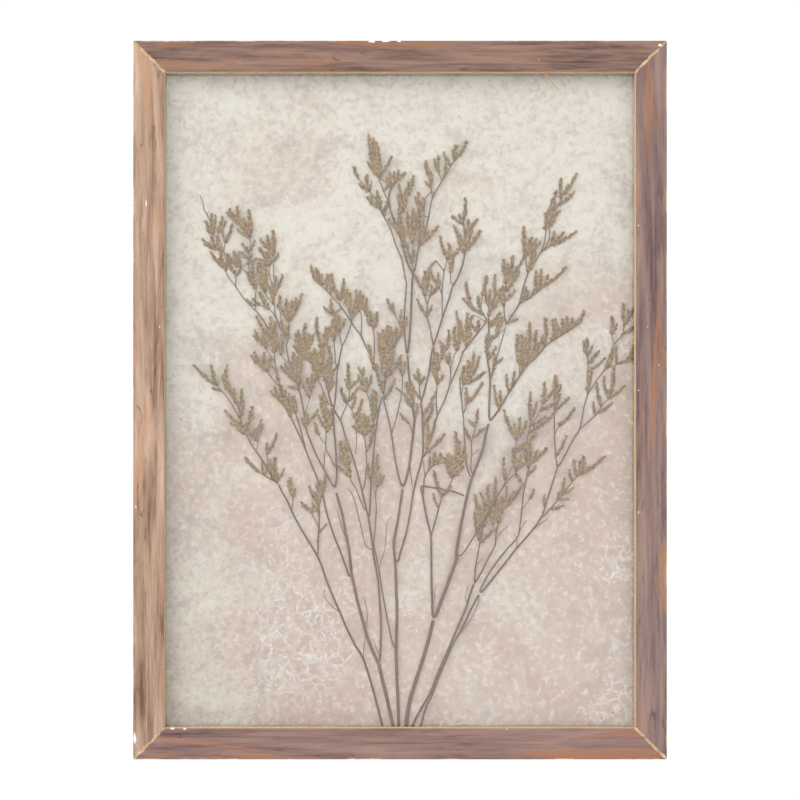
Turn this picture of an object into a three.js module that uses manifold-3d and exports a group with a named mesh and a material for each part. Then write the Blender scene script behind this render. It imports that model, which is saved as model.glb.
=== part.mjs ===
// A wall frame holding six sprays of dried caspia, pressed behind glass on a mottled card.
// Millimetres. X runs to the right, Z up, and the glass faces -Y. The origin is the middle
// of the whole frame. Each spray is traced in the plane of the glass and laid in a shallow
// layer between the glass and the card, so that crossing branches lie over one another.

import * as THREE from 'three';
import { mergeVertices } from 'three/addons/utils/BufferGeometryUtils.js';
import Module from 'manifold-3d';

const wasm = await Module();
wasm.setup();

// Frame
const WIDTH = 300;
const HEIGHT = 404;
const FACE = 17.8;
const RAIL_DEPTH = 19;
const LIP = 5;
const RABBET = 6;
const EDGE_BREAK = 0.6;
const MITRE_GAP = 0.15;
const FIT = 0.3;

// Layers behind the lip, from the glass back
const GLASS = 2;
const PLANT_SPACE = 4.9;
const CARD = 0.6;
const BOARD = 3;
const SEAT = 0.15;
const SPACER_WIDTH = 3;

// Fixings on the back
const TAB = { length: 12, width: 8, thickness: 0.4, bite: 3, height: 95 };
const HANGER = {
  length: 45, height: 9, thickness: 0.8, teeth: 9, tooth: 1.6,
  holeOffset: 18.5, hole: 1, holeSegments: 6, earInset: 4,
};
const NAIL = { head: 2, headThickness: 0.8, shank: 0.7, length: 8, point: 1, sides: 12 };
const SLOT_MARGIN = 1;
const BORE_MARGIN = 2;

// Pressed plant
const PRESSED = 0.9;
const LAYER_PITCH = 1.2;
const BACK_LAYER = 0.6;
const STEM_SIDES = 3;
const OUTER_SHARE = 1.12;
const SPIKE_SIDES = 4;
const SPIKE_ROWS = 2;
const SPIKE_BOW = 0.07;
const ROUTE_TOLERANCE = 0.8;
const SLIVER = 0.2;
const ROOT_DEPTH = 0.5;
const SPIKE_STEP = 0.08;

// How near two points, or two shares of a route, count as one
const WELD = 1e-4;
const NEAR_ZERO = 1e-6;

// Finer stems, by girth, and smaller spikes, by width times length, are left to the
// finished surface.
const LEAST_STEM = 0.6;
const LEAST_SPIKE = 27;

const DEPTH = RAIL_DEPTH + HANGER.thickness + NAIL.headThickness + 2 * SEAT;
const FRONT = -DEPTH / 2;
const GLASS_FRONT = FRONT + LIP + SEAT;
const SPACE_FRONT = GLASS_FRONT + GLASS;
const CARD_FRONT = SPACE_FRONT + PLANT_SPACE;
const BOARD_FRONT = CARD_FRONT + CARD + SEAT;
const TAB_FRONT = BOARD_FRONT + BOARD + SEAT;
const RAIL_BACK = FRONT + RAIL_DEPTH;
const WALL = FACE - RABBET;

// Branches of the six sprays, lettered a to g from the left (e grows from d), traced by
// hand. A stem is its girth at the foot and at the tip and then its route as x, z pairs. A
// spike is its foot, its tip and its width.
const BRANCHES = [
  { name: 'a_stem', layer: 0,
    stems: [
      [1.3, 0.9, -9.2, -186.4, -9.6, -184.8, -14.2, -166.8, -20.2, -147.2, -25, -139, -30, -129,
        -34, -119.5, -38, -110.5, -41.5, -101.5, -45, -91.5, -49.3, -83.4, -54.6, -74.8, -60, -65,
        -63.3, -57.6, -66.6, -51.6, -68.6, -47.8],
      [0.5, 0.3, -34.2, -119.8, -37, -117.8, -40, -115, -42.3, -111.5, -42.7, -108.5, -42.3, -106.8],
      [0.5, 0.3, -20.3, -146.5, -20.2, -141, -19.5, -135.5, -18.7, -130, -18.2, -124, -18.6, -118,
        -19.7, -113, -21.3, -111.3],
      [0.7, 0.5, -61.5, -61.5, -60.8, -60.4, -60.4, -55.9, -60.7, -53],
    ],
    spikes: [
      [-60.6, -54.5, -63.2, -46.7, 1.6], [-60.5, -54.5, -62, -44.3, 2.4],
      [-60.3, -55, -59.3, -50.3, 1.6],
    ] },
  { name: 'a_inner', layer: 0,
    stems: [
      [1.1, 0.7, -46.3, -87.1, -46.2, -82.6, -46, -77.3, -45.6, -71.5, -45.4, -64.1, -45.7, -60.8,
        -45.2, -57.6, -44.2, -54.7],
      [0.6, 0.4, -46, -71.5, -47.6, -68.2, -49.3, -64.9, -50.1, -63.3],
      [0.5, 0.4, -46.4, -80.5, -47.7, -78.8],
    ],
    spikes: [
      [-50, -63.4, -55.7, -58.1, 1.5], [-49.6, -64, -48.9, -59.4, 1.3],
      [-45.5, -63.3, -49.3, -58.7, 1.5], [-46.2, -59.4, -51.2, -49.5, 2.2],
      [-46, -58.5, -47.6, -52.5, 1.5], [-45.4, -74.8, -41.3, -70.2, 1], [-44.3, -54.7, -42, -43, 2],
      [-44.3, -54.7, -44.7, -46.3, 1.8], [-44.2, -54, -46.9, -47.8, 1.6],
    ] },
  { name: 'a_mid', layer: 0,
    stems: [
      [0.9, 0.5, -69.6, -46.2, -72.7, -44.8, -77.3, -42, -79.7, -40.7],
      [0.8, 0.4, -72.3, -44.5, -74.2, -38.7, -74.8, -34.2, -75.2, -29.8],
    ],
    spikes: [
      [-79.5, -40.8, -87.4, -32.8, 1.8], [-77, -42, -77.9, -34.4, 1.5],
      [-76.5, -42.4, -74.5, -37, 1.8], [-72, -45, -73.4, -34.4, 2.4],
      [-70.2, -46, -70.8, -33.1, 2.6], [-69.5, -46.4, -65.6, -39.4, 1.3],
      [-68.2, -44.5, -68.8, -41.8, 1.2], [-75.2, -30, -75.3, -24.8, 1.5],
      [-75.1, -30.5, -69.8, -19.6, 1.7],
    ] },
  { name: 'a_top', layer: 1,
    stems: [
      [1, 0.5, -69.5, -46.9, -71.3, -44.2, -75.4, -37.4, -79.7, -30.9, -83.8, -25, -87.1, -18.5,
        -89.8, -11.9, -92.9, -5.8, -96.5, 0, -99.6, 4.1, -104, 9.3],
      [0.7, 0.5, -90.4, -10, -90.8, -5, -93.3, 0, -95.7, 3.3, -98.2, 6.5],
      [0.5, 0.4, -84.6, -24, -83.8, -21, -82.8, -18.9],
      [0.5, 0.4, -81.2, -28.2, -80.5, -25, -80.2, -21.2],
    ],
    spikes: [
      [-103.8, 9, -116.3, 19.6, 1.8], [-102.9, 8.6, -106.8, 19.2, 2.4],
      [-100.7, 5.7, -105.4, 6.7, 1.4], [-98.2, 6, -98, 19.4, 2.2], [-98.8, 9, -100.4, 14.1, 1.3],
      [-94, 1, -96.6, 8.8, 2.4], [-92, -2.5, -94.1, 5.9, 2.4], [-90.8, -4.9, -89.2, 6.1, 1.6],
      [-89.4, -10, -88.3, -0.6, 1.8], [-86.5, -17, -83.3, -4.4, 2.8], [-86.5, -14, -83, -10, 1.8],
      [-89.5, -15.4, -98.4, -6.2, 2], [-90.2, -15.5, -95.5, -13.4, 1.2],
      [-88, -19.8, -91.3, -16.8, 1.2], [-83.4, -20.8, -86, -16.2, 1.5],
      [-82.8, -18.9, -78.1, -11.5, 1.5], [-80.2, -21.5, -77.8, -14, 1.5],
      [-80.4, -23.4, -82.5, -20.3, 1.6], [-80.1, -20.5, -80.9, -18.4, 1],
    ] },
  { name: 'b_stem', layer: 0,
    stems: [
      [2.1, 1.9, -3.1, -186.4, -3.5, -184.8, -7.3, -168, -11.4, -151],
      [1.9, 1.4, -11.4, -151, -12, -149, -15, -142.5, -18.5, -133.5, -21, -124, -23.5, -115,
        -25.5, -106, -27.2, -98, -27.9, -90, -29, -82.6, -30.5, -75, -32, -66.2, -33.8, -59.5,
        -35.8, -52.4],
      [0.6, 0.4, -19.5, -130, -19.2, -125],
      [0.6, 0.4, -31, -76.5, -33, -71, -34.4, -65.5, -35.6, -62],
    ],
    spikes: [
    ] },
  { name: 'b_outer', layer: 0,
    stems: [
      [1.2, 0.7, -28.6, -99.4, -29.6, -96.4, -31.6, -91, -34.1, -84.2, -37.8, -74.8, -41.5, -62.9,
        -43.5, -53.5, -46.4, -44.8, -51.3, -32.9, -54.2, -25.5, -58.3, -16.4, -62.3, -8,
        -66.6, -1.7, -69, 1.2],
      [0.9, 0.6, -53.6, -26.3, -55, -20.5, -57.5, -11.5, -58.9, -7.4, -59, -0.8, -59.5, 3.3],
    ],
    spikes: [
      [-68.5, 0.8, -72.9, 4.8, 2], [-67, -1, -70.8, 7.2, 2.6], [-64.8, -3.6, -67.4, 7.6, 3],
      [-63.4, -5.4, -65, 5, 2.6], [-62, -7.6, -62.8, 3, 2.4], [-61.2, -9, -61, 1.8, 2],
      [-59.3, -7.5, -60.8, 1.5, 2.6], [-58.6, -6.5, -58.8, -1, 2],
    ] },
  { name: 'b_far', layer: 1,
    stems: [
      [0.8, 0.5, -66.4, 3.4, -67.7, 7.8, -69, 14.8, -70.1, 19.5, -70.8, 25, -71, 30, -72.4, 36],
      [0.7, 0.5, -67.7, 7.8, -70.3, 10.4, -72.3, 12.7, -74.2, 15.6, -76.8, 18],
      [0.6, 0.4, -70.7, 21.5, -71.9, 23.8, -73.8, 26.7, -75.6, 29.5, -77.9, 32.2],
      [0.6, 0.5, -72.4, 36, -75.8, 38.6],
    ],
    spikes: [
      [-76.5, 17.8, -83.6, 25, 2.2], [-77.5, 18.8, -82, 26.6, 2], [-75.6, 17.5, -77, 26, 2.6],
      [-74.3, 17, -72.7, 24.4, 2.4], [-69, 14.6, -71.7, 19, 1.4], [-68, 11, -70, 17.5, 1.2],
      [-72, 27, -72.7, 39.2, 3], [-70.9, 28, -69.8, 38, 2], [-77.3, 31.4, -82, 36, 1.8],
      [-78.5, 33.2, -81.9, 39.3, 1.8], [-76.5, 30.6, -77.4, 40, 2.4], [-75.4, 29.5, -75.4, 38, 2],
      [-75.4, 38.2, -81, 47.4, 2.4], [-73.5, 37.2, -72.8, 46.6, 2.6], [-72.4, 36.6, -70.3, 43.8, 2],
    ] },
  { name: 'b_far_left', layer: 0,
    stems: [
      [0.8, 0.4, -74.6, 40.9, -75.6, 42.7, -77.4, 46, -81.4, 51, -84.2, 53.6, -87.9, 57.5,
        -93.1, 65.1, -97, 70.2, -98.6, 73.5, -100.2, 76],
      [0.7, 0.4, -93.1, 65.1, -92.9, 70.2, -95.7, 75.6, -97.8, 78.5, -99.7, 85, -102.7, 93.3,
        -103.3, 97],
      [0.5, 0.4, -99.6, 85, -99.2, 87.9, -98.6, 90.4],
      [0.5, 0.4, -102.7, 92, -104.5, 93.5, -106.2, 94.9],
      [0.6, 0.5, -99.7, 84.6, -102, 85.2, -104, 86],
      [0.6, 0.4, -106.6, 100.5, -108.5, 104.4, -111, 108.7, -111.2, 111.4, -112.7, 115,
        -112.7, 116.7],
      [0.4, 0.3, -109.4, 106.2, -107.8, 107.5],
    ],
    spikes: [
      [-99.8, 75.4, -106.8, 83.8, 1.8], [-99.9, 76, -101.6, 85.4, 3],
      [-98.4, 73.3, -97.8, 82.8, 2.2], [-93.6, 72.4, -97.5, 80.5, 2.2],
      [-92.8, 70.6, -90.1, 74.3, 1.4], [-98.9, 89.6, -94.9, 99.2, 2.4],
      [-99.4, 90, -100.6, 96.4, 1.8], [-103, 95.3, -100.2, 103.6, 2.4],
      [-102.3, 95, -98.7, 101, 1.8], [-106, 94.5, -106.6, 105.2, 2.4],
      [-105.5, 96, -104.1, 104.4, 1.8], [-106.2, 95, -109.8, 101.2, 1.3],
      [-105.4, 93.6, -109, 96.4, 1.6], [-103.4, 85.6, -110.2, 88.4, 1.8],
      [-103.6, 86, -111.5, 91.2, 2.2], [-103.4, 86, -106.8, 92.5, 2.4],
      [-102.4, 85.6, -103.5, 92.5, 2.4],
    ] },
  { name: 'b_far_mid', layer: 1,
    stems: [
      [0.7, 0.5, -81.5, 52.2, -81.6, 55, -81.8, 59.2, -81.3, 63, -82.5, 68, -84.8, 72.5, -85.7, 79,
        -85.5, 81.7, -84.8, 85, -84.2, 88.3, -85, 91.7, -85.8, 95],
      [0.5, 0.4, -85, 73.4, -87.4, 73.2, -89.6, 75.2, -91.6, 76],
      [0.5, 0.4, -89.7, 75.8, -86.3, 77.3],
    ],
    spikes: [
      [-81.6, 63.3, -86, 72, 2.4], [-81.3, 64, -83.3, 76.6, 2.6], [-91.2, 75.9, -97.3, 82, 1.8],
      [-89.9, 75.4, -93.8, 83.6, 2.6], [-90, 75.6, -91, 83.2, 2], [-86.6, 77.2, -81.4, 79.8, 1.8],
      [-85.8, 78.3, -83.8, 82, 2], [-85.6, 80.6, -90.2, 84, 2.2], [-85.2, 84, -88.7, 88.2, 2.4],
      [-84.9, 85, -82.3, 89.8, 1.8], [-85.7, 94.4, -91.5, 100.9, 2], [-90.8, 99.6, -97.5, 106.2, 2],
      [-90.5, 99.6, -96.3, 107.6, 2], [-89.8, 98.8, -92.3, 109.2, 2.6],
      [-86.3, 95.4, -85.2, 107.3, 3], [-85.4, 92.6, -83.6, 99.6, 2.8], [-85.3, 92, -91.6, 96.6, 1.3],
      [-86.2, 95.4, -88.3, 102.7, 2],
    ] },
  { name: 'b_crown', layer: 0,
    stems: [
      [0.8, 0.5, -66.2, 38.6, -68, 42.5, -69.6, 46.5, -70.6, 50, -71.1, 55, -73.6, 57.1, -75.6, 60,
        -78.9, 65.3],
      [0.6, 0.5, -69.9, 46.8, -71.7, 49.7, -74, 51.8, -76.8, 53.4, -79.3, 54.2, -82.6, 54],
      [0.7, 0.5, -71.1, 55, -71, 60, -70.9, 64.9, -71.5, 73.5, -71.5, 84],
      [0.5, 0.4, -71, 63, -73.2, 69, -73.8, 74.8, -72.4, 78.6],
      [0.5, 0.4, -67.4, 44.8, -67.8, 51, -69.3, 53],
    ],
    spikes: [
      [-78.2, 64, -80.5, 76.2, 2.6], [-77.9, 63, -78.6, 77.8, 2.8], [-76, 61, -75.8, 75, 2.6],
      [-73.5, 53, -79, 60.6, 3], [-82.4, 54, -86.6, 56.6, 1.8], [-79.3, 54, -82.8, 57.3, 2],
      [-71.5, 79.2, -68.8, 82.6, 1.8], [-71.4, 82, -71.4, 95.7, 3.2], [-72, 83.6, -78.6, 91, 2.4],
      [-71.8, 83.5, -75, 92.5, 2.6], [-72, 78.8, -79.3, 80, 2.2], [-72.8, 76.8, -79.4, 77.4, 2.4],
      [-73, 78, -79.2, 85.9, 2.6], [-72.4, 78, -75.5, 83.7, 2], [-70.6, 61.4, -66.3, 70.5, 2],
      [-70.8, 64, -69.9, 70.2, 1.2], [-70.8, 60, -74.5, 65, 2.6], [-70.8, 59.5, -72, 66, 2.6],
      [-69.2, 52.5, -67.5, 58.6, 2], [-70.4, 54.5, -72.5, 60, 2.6],
    ] },
  { name: 'b_right_fork', layer: 1,
    stems: [
      [0.8, 0.6, -64.2, 31.6, -63.2, 34.5, -62.7, 40.7, -62.5, 44.8, -61.6, 46.5],
    ],
    spikes: [
      [-62, 45.6, -55.4, 59.6, 2.4], [-62.5, 45, -64.1, 56.5, 3], [-62.7, 44.5, -67.9, 54.4, 2.6],
      [-61.6, 46.5, -60.6, 55.7, 2.6], [-60.7, 48.6, -58.3, 57.3, 2], [-63.2, 34, -66.8, 44.6, 2.6],
      [-63.1, 35, -64, 41, 2.2],
    ] },
  { name: 'b_mid', layer: 1,
    stems: [
      [1.2, 0.7, -37.2, -48.6, -39.4, -45.2, -43.9, -37, -46.8, -31.6, -50.1, -23.8, -53.2, -15.2,
        -54.2, -6.2, -55.8, 2, -57.3, 7, -59.2, 13, -61.5, 19, -63.2, 25, -64, 30.4],
      [0.6, 0.4, -54, -8.5, -52.1, -2.9, -50.1, 4.1, -47.6, 11.5, -46.6, 13.8],
      [0.6, 0.4, -61.8, 20.4, -65.4, 23.4, -67.4, 26.6, -69, 29.9],
    ],
    spikes: [
      [-53.6, -14.2, -46.4, -6, 2.4], [-53, -13.6, -52, -8, 2], [-53.4, -15.5, -55.3, -10.5, 1.8],
      [-58.5, 11, -55.3, 22.6, 2.4], [-59.3, 12, -57.4, 24.6, 2.6], [-60.9, 17.6, -59.8, 26.4, 2.6],
      [-58.6, 10.8, -66.9, 18.7, 2.2], [-59, 11.6, -64.9, 20.3, 2.4], [-57.3, 7.2, -55.7, 13.3, 2.2],
      [-57.2, 6.6, -62.6, 7.6, 1.8], [-49.8, 5.4, -52.5, 12, 2], [-49.2, 7, -49.6, 14.2, 2.2],
      [-48.2, 10, -46.5, 15.5, 2.2], [-51.2, 1.4, -54.4, 8.6, 1.4], [-66.6, 26, -66.5, 36.6, 2.4],
      [-68.4, 29, -69.4, 37, 2.2],
    ] },
  { name: 'b_tall', layer: 1,
    stems: [
      [1.3, 0.9, -36.4, -48.6, -35.7, -44.4, -35.5, -40.3, -36.1, -29.6, -37, -17.3, -37.5, -9.1,
        -37.4, -4.9, -36.5, 0.4, -35.7, 9.8, -35.5, 14.8, -34.1, 23, -32.5, 31],
      [0.9, 0.5, -32.5, 31, -30.4, 34.9, -27.9, 41.9, -27.3, 45, -28.5, 50.9, -30.4, 56.3,
        -31.4, 58.3],
      [0.5, 0.4, -27.3, 45, -25.1, 48.9, -23.8, 50.5],
      [0.7, 0.5, -32.6, 31, -33.3, 34.5, -33.9, 37, -33.7, 39.5, -33.3, 41.5],
      [0.8, 0.6, -35, 18.6, -36.4, 22, -36.5, 27.1, -37, 32, -36.3, 36.5, -36, 41, -36.5, 46.8,
        -37.6, 49],
    ],
    spikes: [
      [-29.6, 54, -31.8, 63.5, 2.4], [-28.5, 51.5, -29.5, 62.3, 2.4], [-28.2, 50, -27.8, 60, 2],
      [-26.4, 47, -27, 52.4, 1.8], [-25.4, 48.4, -25.9, 53.6, 1.8], [-33.3, 40.7, -30.7, 45.4, 2.4],
      [-33.8, 38.5, -34.5, 47.5, 2.6], [-37.5, 48.6, -42.3, 52.3, 1.8], [-37.6, 48.8, -39, 57, 1.8],
      [-37.6, 49, -33.5, 51.5, 1.5], [-36.1, 40, -36.5, 47.5, 3], [-36.6, 36, -38, 45.4, 2.4],
      [-36.8, 33.6, -38.3, 42, 2],
    ] },
  { name: 'b_knee', layer: 0,
    stems: [
      [0.8, 0.5, -37, -36.8, -39, -32.5, -41.7, -27.1, -41.6, -20.5, -41.5, -12.3, -41.9, -5,
        -42.5, 1],
      [0.5, 0.4, -41.9, -24.2, -43.9, -22.6, -45.6, -19.7, -48.6, -17.2],
      [0.5, 0.4, -42.9, -39, -42.5, -34.2, -42.5, -31.2, -41.9, -27.6],
    ],
    spikes: [
      [-45.9, -19.5, -47.8, -13.6, 2], [-41.9, -5, -43.3, 4.2, 2.5], [-42.2, -2, -45.4, 2.7, 2],
      [-41.5, -8.4, -44.3, -2.1, 3], [-41.5, -11.7, -37.9, -4.9, 2.4], [-41.5, -10, -41.5, -3, 3],
      [-41.6, -17.9, -37.8, -11.1, 2.4], [-41.6, -16, -41, -10, 2.5], [-41.6, -16, -46, -8.8, 2],
    ] },
  { name: 'b_up', layer: 0,
    stems: [
      [1.3, 0.8, -11.2, -147, -11, -146.5, -10.5, -135, -10.5, -125, -11.3, -113, -12, -103,
        -13.3, -95, -14.5, -89, -15.8, -78, -17.5, -67, -18.6, -62.5, -21.4, -50.4, -23.8, -41.1,
        -26.7, -31.2, -30.8, -19.7, -33.3, -11.5, -36.5, -6.2, -39, -0.4, -41.1, 7.4, -41.9, 12.3],
      [0.4, 0.3, -11.2, -144.9, -12.8, -141.5, -13.6, -138.2],
      [0.6, 0.5, -38, -2.9, -40.2, -1.7, -42.7, 4.5, -46, 11.9, -50, 20.5, -52.6, 24.4,
        -51.2, 31.2, -50.1, 34.1],
      [0.7, 0.5, -42.3, 13.5, -44.2, 22, -45.2, 31.7, -45.8, 35.8],
      [0.6, 0.4, -15.4, -84.6, -18.1, -83.4, -19.7, -80.1, -21.6, -72.3, -23.4, -64.9,
        -25.7, -56.3, -27.9, -51, -29.7, -50.3],
      [0.6, 0.5, -18.6, -62.5, -19.9, -61.4, -22.2, -56.3, -25.1, -48.9, -27.4, -45.6,
        -27.6, -39.5, -28.6, -36.2],
      [0.7, 0.5, -33.3, -11.5, -33.1, -10, -31.2, -5.4, -29.6, -1.8, -28.7, 1.6, -28.3, 5.3,
        -27.9, 7.8],
      [0.5, 0.4, -29.6, -1.8, -27.1, -5, -25.9, -8.6, -24.9, -12, -24.7, -17, -24.2, -22.2,
        -24.4, -25.5, -24.9, -30.3],
      [0.8, 0.6, -21.4, -50.4, -20.6, -50.8, -19.3, -44.4, -18.6, -36.2, -19.1, -25.5, -20, -20.5,
        -21, -17.5],
    ],
    spikes: [
      [-41.8, 11.6, -43.2, 30.2, 3.4], [-41.8, 11.5, -48.2, 28.5, 3], [-41.5, 10, -38.6, 25, 3],
      [-40.6, 6.6, -37.5, 16.5, 2], [-40.2, 4.6, -37.3, 10.2, 1.2], [-41.6, 12.6, -34.6, 20.2, 1.8],
      [-41.6, 12.6, -39.5, 29.5, 3], [-47.2, 15, -49.5, 27, 3], [-45.6, 12, -46.5, 26, 3],
      [-51.2, 30, -48.5, 37.6, 1.8], [-51.4, 29, -51, 36.8, 2], [-52.3, 25.4, -53.8, 43, 2.6],
      [-52.5, 25, -59, 37.2, 2.6], [-52.5, 25.5, -57.4, 39.2, 2.4], [-52.4, 24.5, -59, 33.5, 2.4],
      [-51.9, 23.6, -60, 30.6, 2.4], [-51, 22, -53, 35.5, 3], [-45.4, 33, -47, 46.6, 2.4],
      [-45, 30, -41.5, 40.5, 2.8], [-44.6, 28, -39.8, 40.4, 2.4], [-44.2, 26, -40.6, 36, 2.4],
      [-28.4, -36, -33.6, -23.9, 3], [-28.4, -35.3, -30.4, -23.3, 4],
      [-28.4, -36.6, -33.8, -30.9, 2.2], [-28.4, -37.5, -33.9, -33.4, 2],
      [-27.6, -43.4, -33.9, -38, 2], [-30.1, -41, -31, -35.8, 1.8], [-29.8, -1.6, -33.4, 6.3, 2.4],
      [-28.9, -0.8, -24.1, 6, 2.4], [-28.1, 6, -30.6, 11.7, 1.6], [-27.9, 7.4, -29.2, 20, 2.2],
      [-27.9, 7, -22.8, 12.9, 2], [-27.1, -5, -24.7, 1.8, 1.8], [-25.3, -10, -21, -0.3, 2.2],
      [-20.6, -19, -20.9, -8.2, 2], [-20.4, -19.4, -19.4, -8.6, 2.4], [-21, -17.9, -25.4, -8.4, 3],
      [-20.8, -18.4, -26.1, -15, 2], [-20.8, -18, -22.6, -8.3, 3], [-20.2, -19.5, -17.6, -10, 3],
      [-20, -20, -14.7, -14.2, 2.4], [-18.9, -29.6, -15, -18.7, 2.4],
    ] },
  { name: 'b_right', layer: 1,
    stems: [
      [1.2, 0.8, -17.1, -65.2, -16.6, -58.8, -16, -45.7, -14.8, -32.1, -13.6, -19.3, -12.1, -7.4,
        -10.2, 0.5, -10, 2.2],
      [0.7, 0.5, -13.9, -22, -14.6, -13.2, -15.6, -5, -18.1, 3.3, -19.3, 5.3, -21.8, 10.7],
    ],
    spikes: [
      [-15.8, -43, -12.2, -31.4, 2.4], [-15.9, -43.6, -11.9, -37.6, 2],
      [-15.9, -44, -18.2, -36.4, 2], [-16, -46, -18.2, -40.5, 1.4], [-19.3, 5.5, -22.3, 7.1, 1.4],
      [-21.4, 9.8, -23, 13.7, 1.8], [-20.8, 8.6, -21, 16, 2], [-21, 15, -23.3, 18.5, 1],
      [-21, 15, -20.1, 18.2, 1], [-18.7, 5, -15.7, 13.8, 2], [-18.9, 5.3, -18.6, 12, 2],
      [-14.8, -9, -14.8, 4.7, 3], [-14.4, -12, -13.3, 4.4, 2.4], [-15.4, -6, -16, 2.5, 2],
    ] },
  { name: 'c_stem', layer: 0,
    stems: [
      [1.9, 1.3, -0.5, -186.4, -0.8, -168.8, -1.8, -145, -1.3, -122, -1.6, -110, -2.3, -92,
        -3, -84, -2.9, -78.5, -0.8, -67.8, 0.5, -59.5, 1.8, -50.2],
    ],
    spikes: [
    ] },
  { name: 'c_side', layer: 1,
    stems: [
      [1, 0.6, -3.2, -139.4, -6, -128, -9.5, -109.5, -11.8, -95, -13.6, -86.3, -14.5, -81,
        -13.7, -72, -13.1, -60.8, -13.6, -53.5, -12.3, -48.5],
      [0.5, 0.3, -11.6, -95.6, -9.9, -89.5, -8.2, -84.2, -7.2, -70.3, -6, -67.8, -4.2, -65.3],
      [0.4, 0.3, -13.5, -54, -14.8, -47.7, -14.9, -45],
    ],
    spikes: [
      [-12.4, -48.8, -8.8, -43.1, 1.8], [-12.5, -49.3, -13.3, -43.6, 1.5],
      [-12.3, -48.6, -10.9, -42.3, 1.8],
    ] },
  { name: 'c_left', layer: 1,
    stems: [
      [1.1, 0.7, 1, -47.6, -0.8, -41.1, -2.5, -32.9, -4.7, -17.3, -6.6, -9, -8.6, -0.8, -9, 3.3,
        -8.4, 11, -9.4, 22],
      [0.8, 0.5, -8.8, 5, -7.4, 12.7, -5.1, 23.8, -3.3, 29.9, 0.8, 36.6, 2.9, 40],
      [0.5, 0.5, 1.6, 38, 0.4, 42.4, -2.9, 49.3, -4.5, 51.4],
      [0.8, 0.5, -4.4, -18.6, -2.1, -11.1, -0.2, -3.3, 1.3, 4.1, 1.7, 12.3, 1.3, 14.8, -0.4, 22.6],
    ],
    spikes: [
      [-9.2, 14, -10.2, 24, 3], [-9.2, 20, -11.9, 37.6, 3], [-9.2, 21, -9, 39.2, 3],
      [-6.4, 18, -6.8, 41.2, 3], [-5.2, 23, -4.8, 40.8, 2.6], [-8.6, 1, -2.6, 11.7, 2.4],
      [-7.4, 12.7, 0.1, 23.2, 2.4], [-6.4, 17, -3, 27.6, 2], [-3.2, 30, -1.7, 40.2, 2.4],
      [0.2, 35.6, 1.4, 44, 2.4], [2.6, 39.5, 4, 46.6, 1.8], [-3.5, 50.2, -6.9, 56.6, 2.2],
      [-2.7, 48.8, -3.7, 54.6, 1.6], [0, 43.6, 1.2, 50.8, 1.6], [-9, 4, -13, 20, 2.4],
      [1.2, 14, 3.6, 21, 2], [1.2, 15, 0.5, 25, 2], [1.2, 5, -1.2, 6.6, 1],
    ] },
  { name: 'c_arch', layer: 0,
    stems: [
      [1, 0.5, -11.5, 10.9, -12.7, 14.3, -14.8, 22.1, -18.5, 29.9, -21.6, 36.6, -25.5, 41.9,
        -30.8, 50.1, -34.9, 55.5, -39, 60, -42.3, 63.7, -46.4, 67, -49.6, 70.8],
      [0.5, 0.4, -33.7, 54, -33.8, 58.5],
      [0.7, 0.5, -21.6, 36.6, -21.4, 46.8, -22.6, 51.8],
      [0.7, 0.4, -14.4, 20.4, -14.2, 32.5, -14.8, 39.9, -16.8, 44.4, -20.1, 50.5, -22.6, 54.6],
    ],
    spikes: [
      [-47.5, 68, -50.1, 75.9, 2], [-47, 67.4, -46.8, 74.2, 1.8], [-45.5, 66.3, -45.4, 72.6, 1.6],
      [-44.8, 65.8, -43.8, 71, 1.6], [-44, 65, -40.6, 71, 2], [-39.2, 60.2, -38.3, 71.4, 2.6],
      [-41.5, 63, -40, 70.5, 2], [-33.9, 57, -37.6, 66.2, 2.2], [-33.8, 57, -31.4, 68.2, 2.4],
      [-13.6, 17.4, -17.4, 30.6, 2.4], [-22.4, 50.5, -25.1, 56.5, 3], [-22.6, 54, -24.7, 62, 2],
      [-21.8, 53.4, -22.4, 61.4, 1.8], [-20.9, 51.8, -21, 59.3, 2.5], [-19.8, 50, -18.4, 57.6, 2.2],
      [-16.4, 43.8, -16.3, 50.2, 2], [-18.4, 47.4, -18.9, 53.4, 2.2], [-14.8, 40, -12.3, 49.4, 2.5],
      [-16, 42.4, -18.1, 45.4, 1.8],
    ] },
  { name: 'c_right', layer: 0,
    stems: [
      [1.5, 1.1, 2.6, -48, 5.4, -38.3, 7, -26.3, 8.3, -15, 8.7, -11, 7.9, -6.6, 6.8, 2, 5.8, 11.5,
        4.6, 25.8],
      [0.6, 0.4, 7.7, -20, 6.6, -15.2, 5.4, -12.3],
      [0.7, 0.5, 5.8, -36, 6.6, -42.4, 7.4, -48.9],
    ],
    spikes: [
      [6.8, -4, 4.2, -0.6, 1.6], [7, -2, 2.5, 3.5, 2], [6.8, 2, 4, 9.2, 2.6], [7.4, -4, 7.8, 2.8, 2],
      [8.7, -10.6, 10.2, -2.7, 2.2], [6.6, 4, 6.8, 10.5, 2.6], [5.6, -12.8, 0.9, -8.2, 2],
    ] },
  { name: 'c_thin', layer: 0,
    stems: [
      [0.9, 0.6, 4.1, 27.6, 2.8, 40.7, 3.1, 53, 4, 65.7, 3.3, 69.4, 1.5, 80.1, -1.9, 87.9,
        -4.5, 96.2, -8.2, 103.6, -11.1, 108.5, -12.7, 110.1],
      [0.7, 0.4, -9.3, 105.6, -11.5, 111.4, -16.4, 118.3, -21, 123.7, -23.8, 126.5],
      [0.6, 0.5, -14.6, 116, -16.6, 119, -15.5, 125],
    ],
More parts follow.
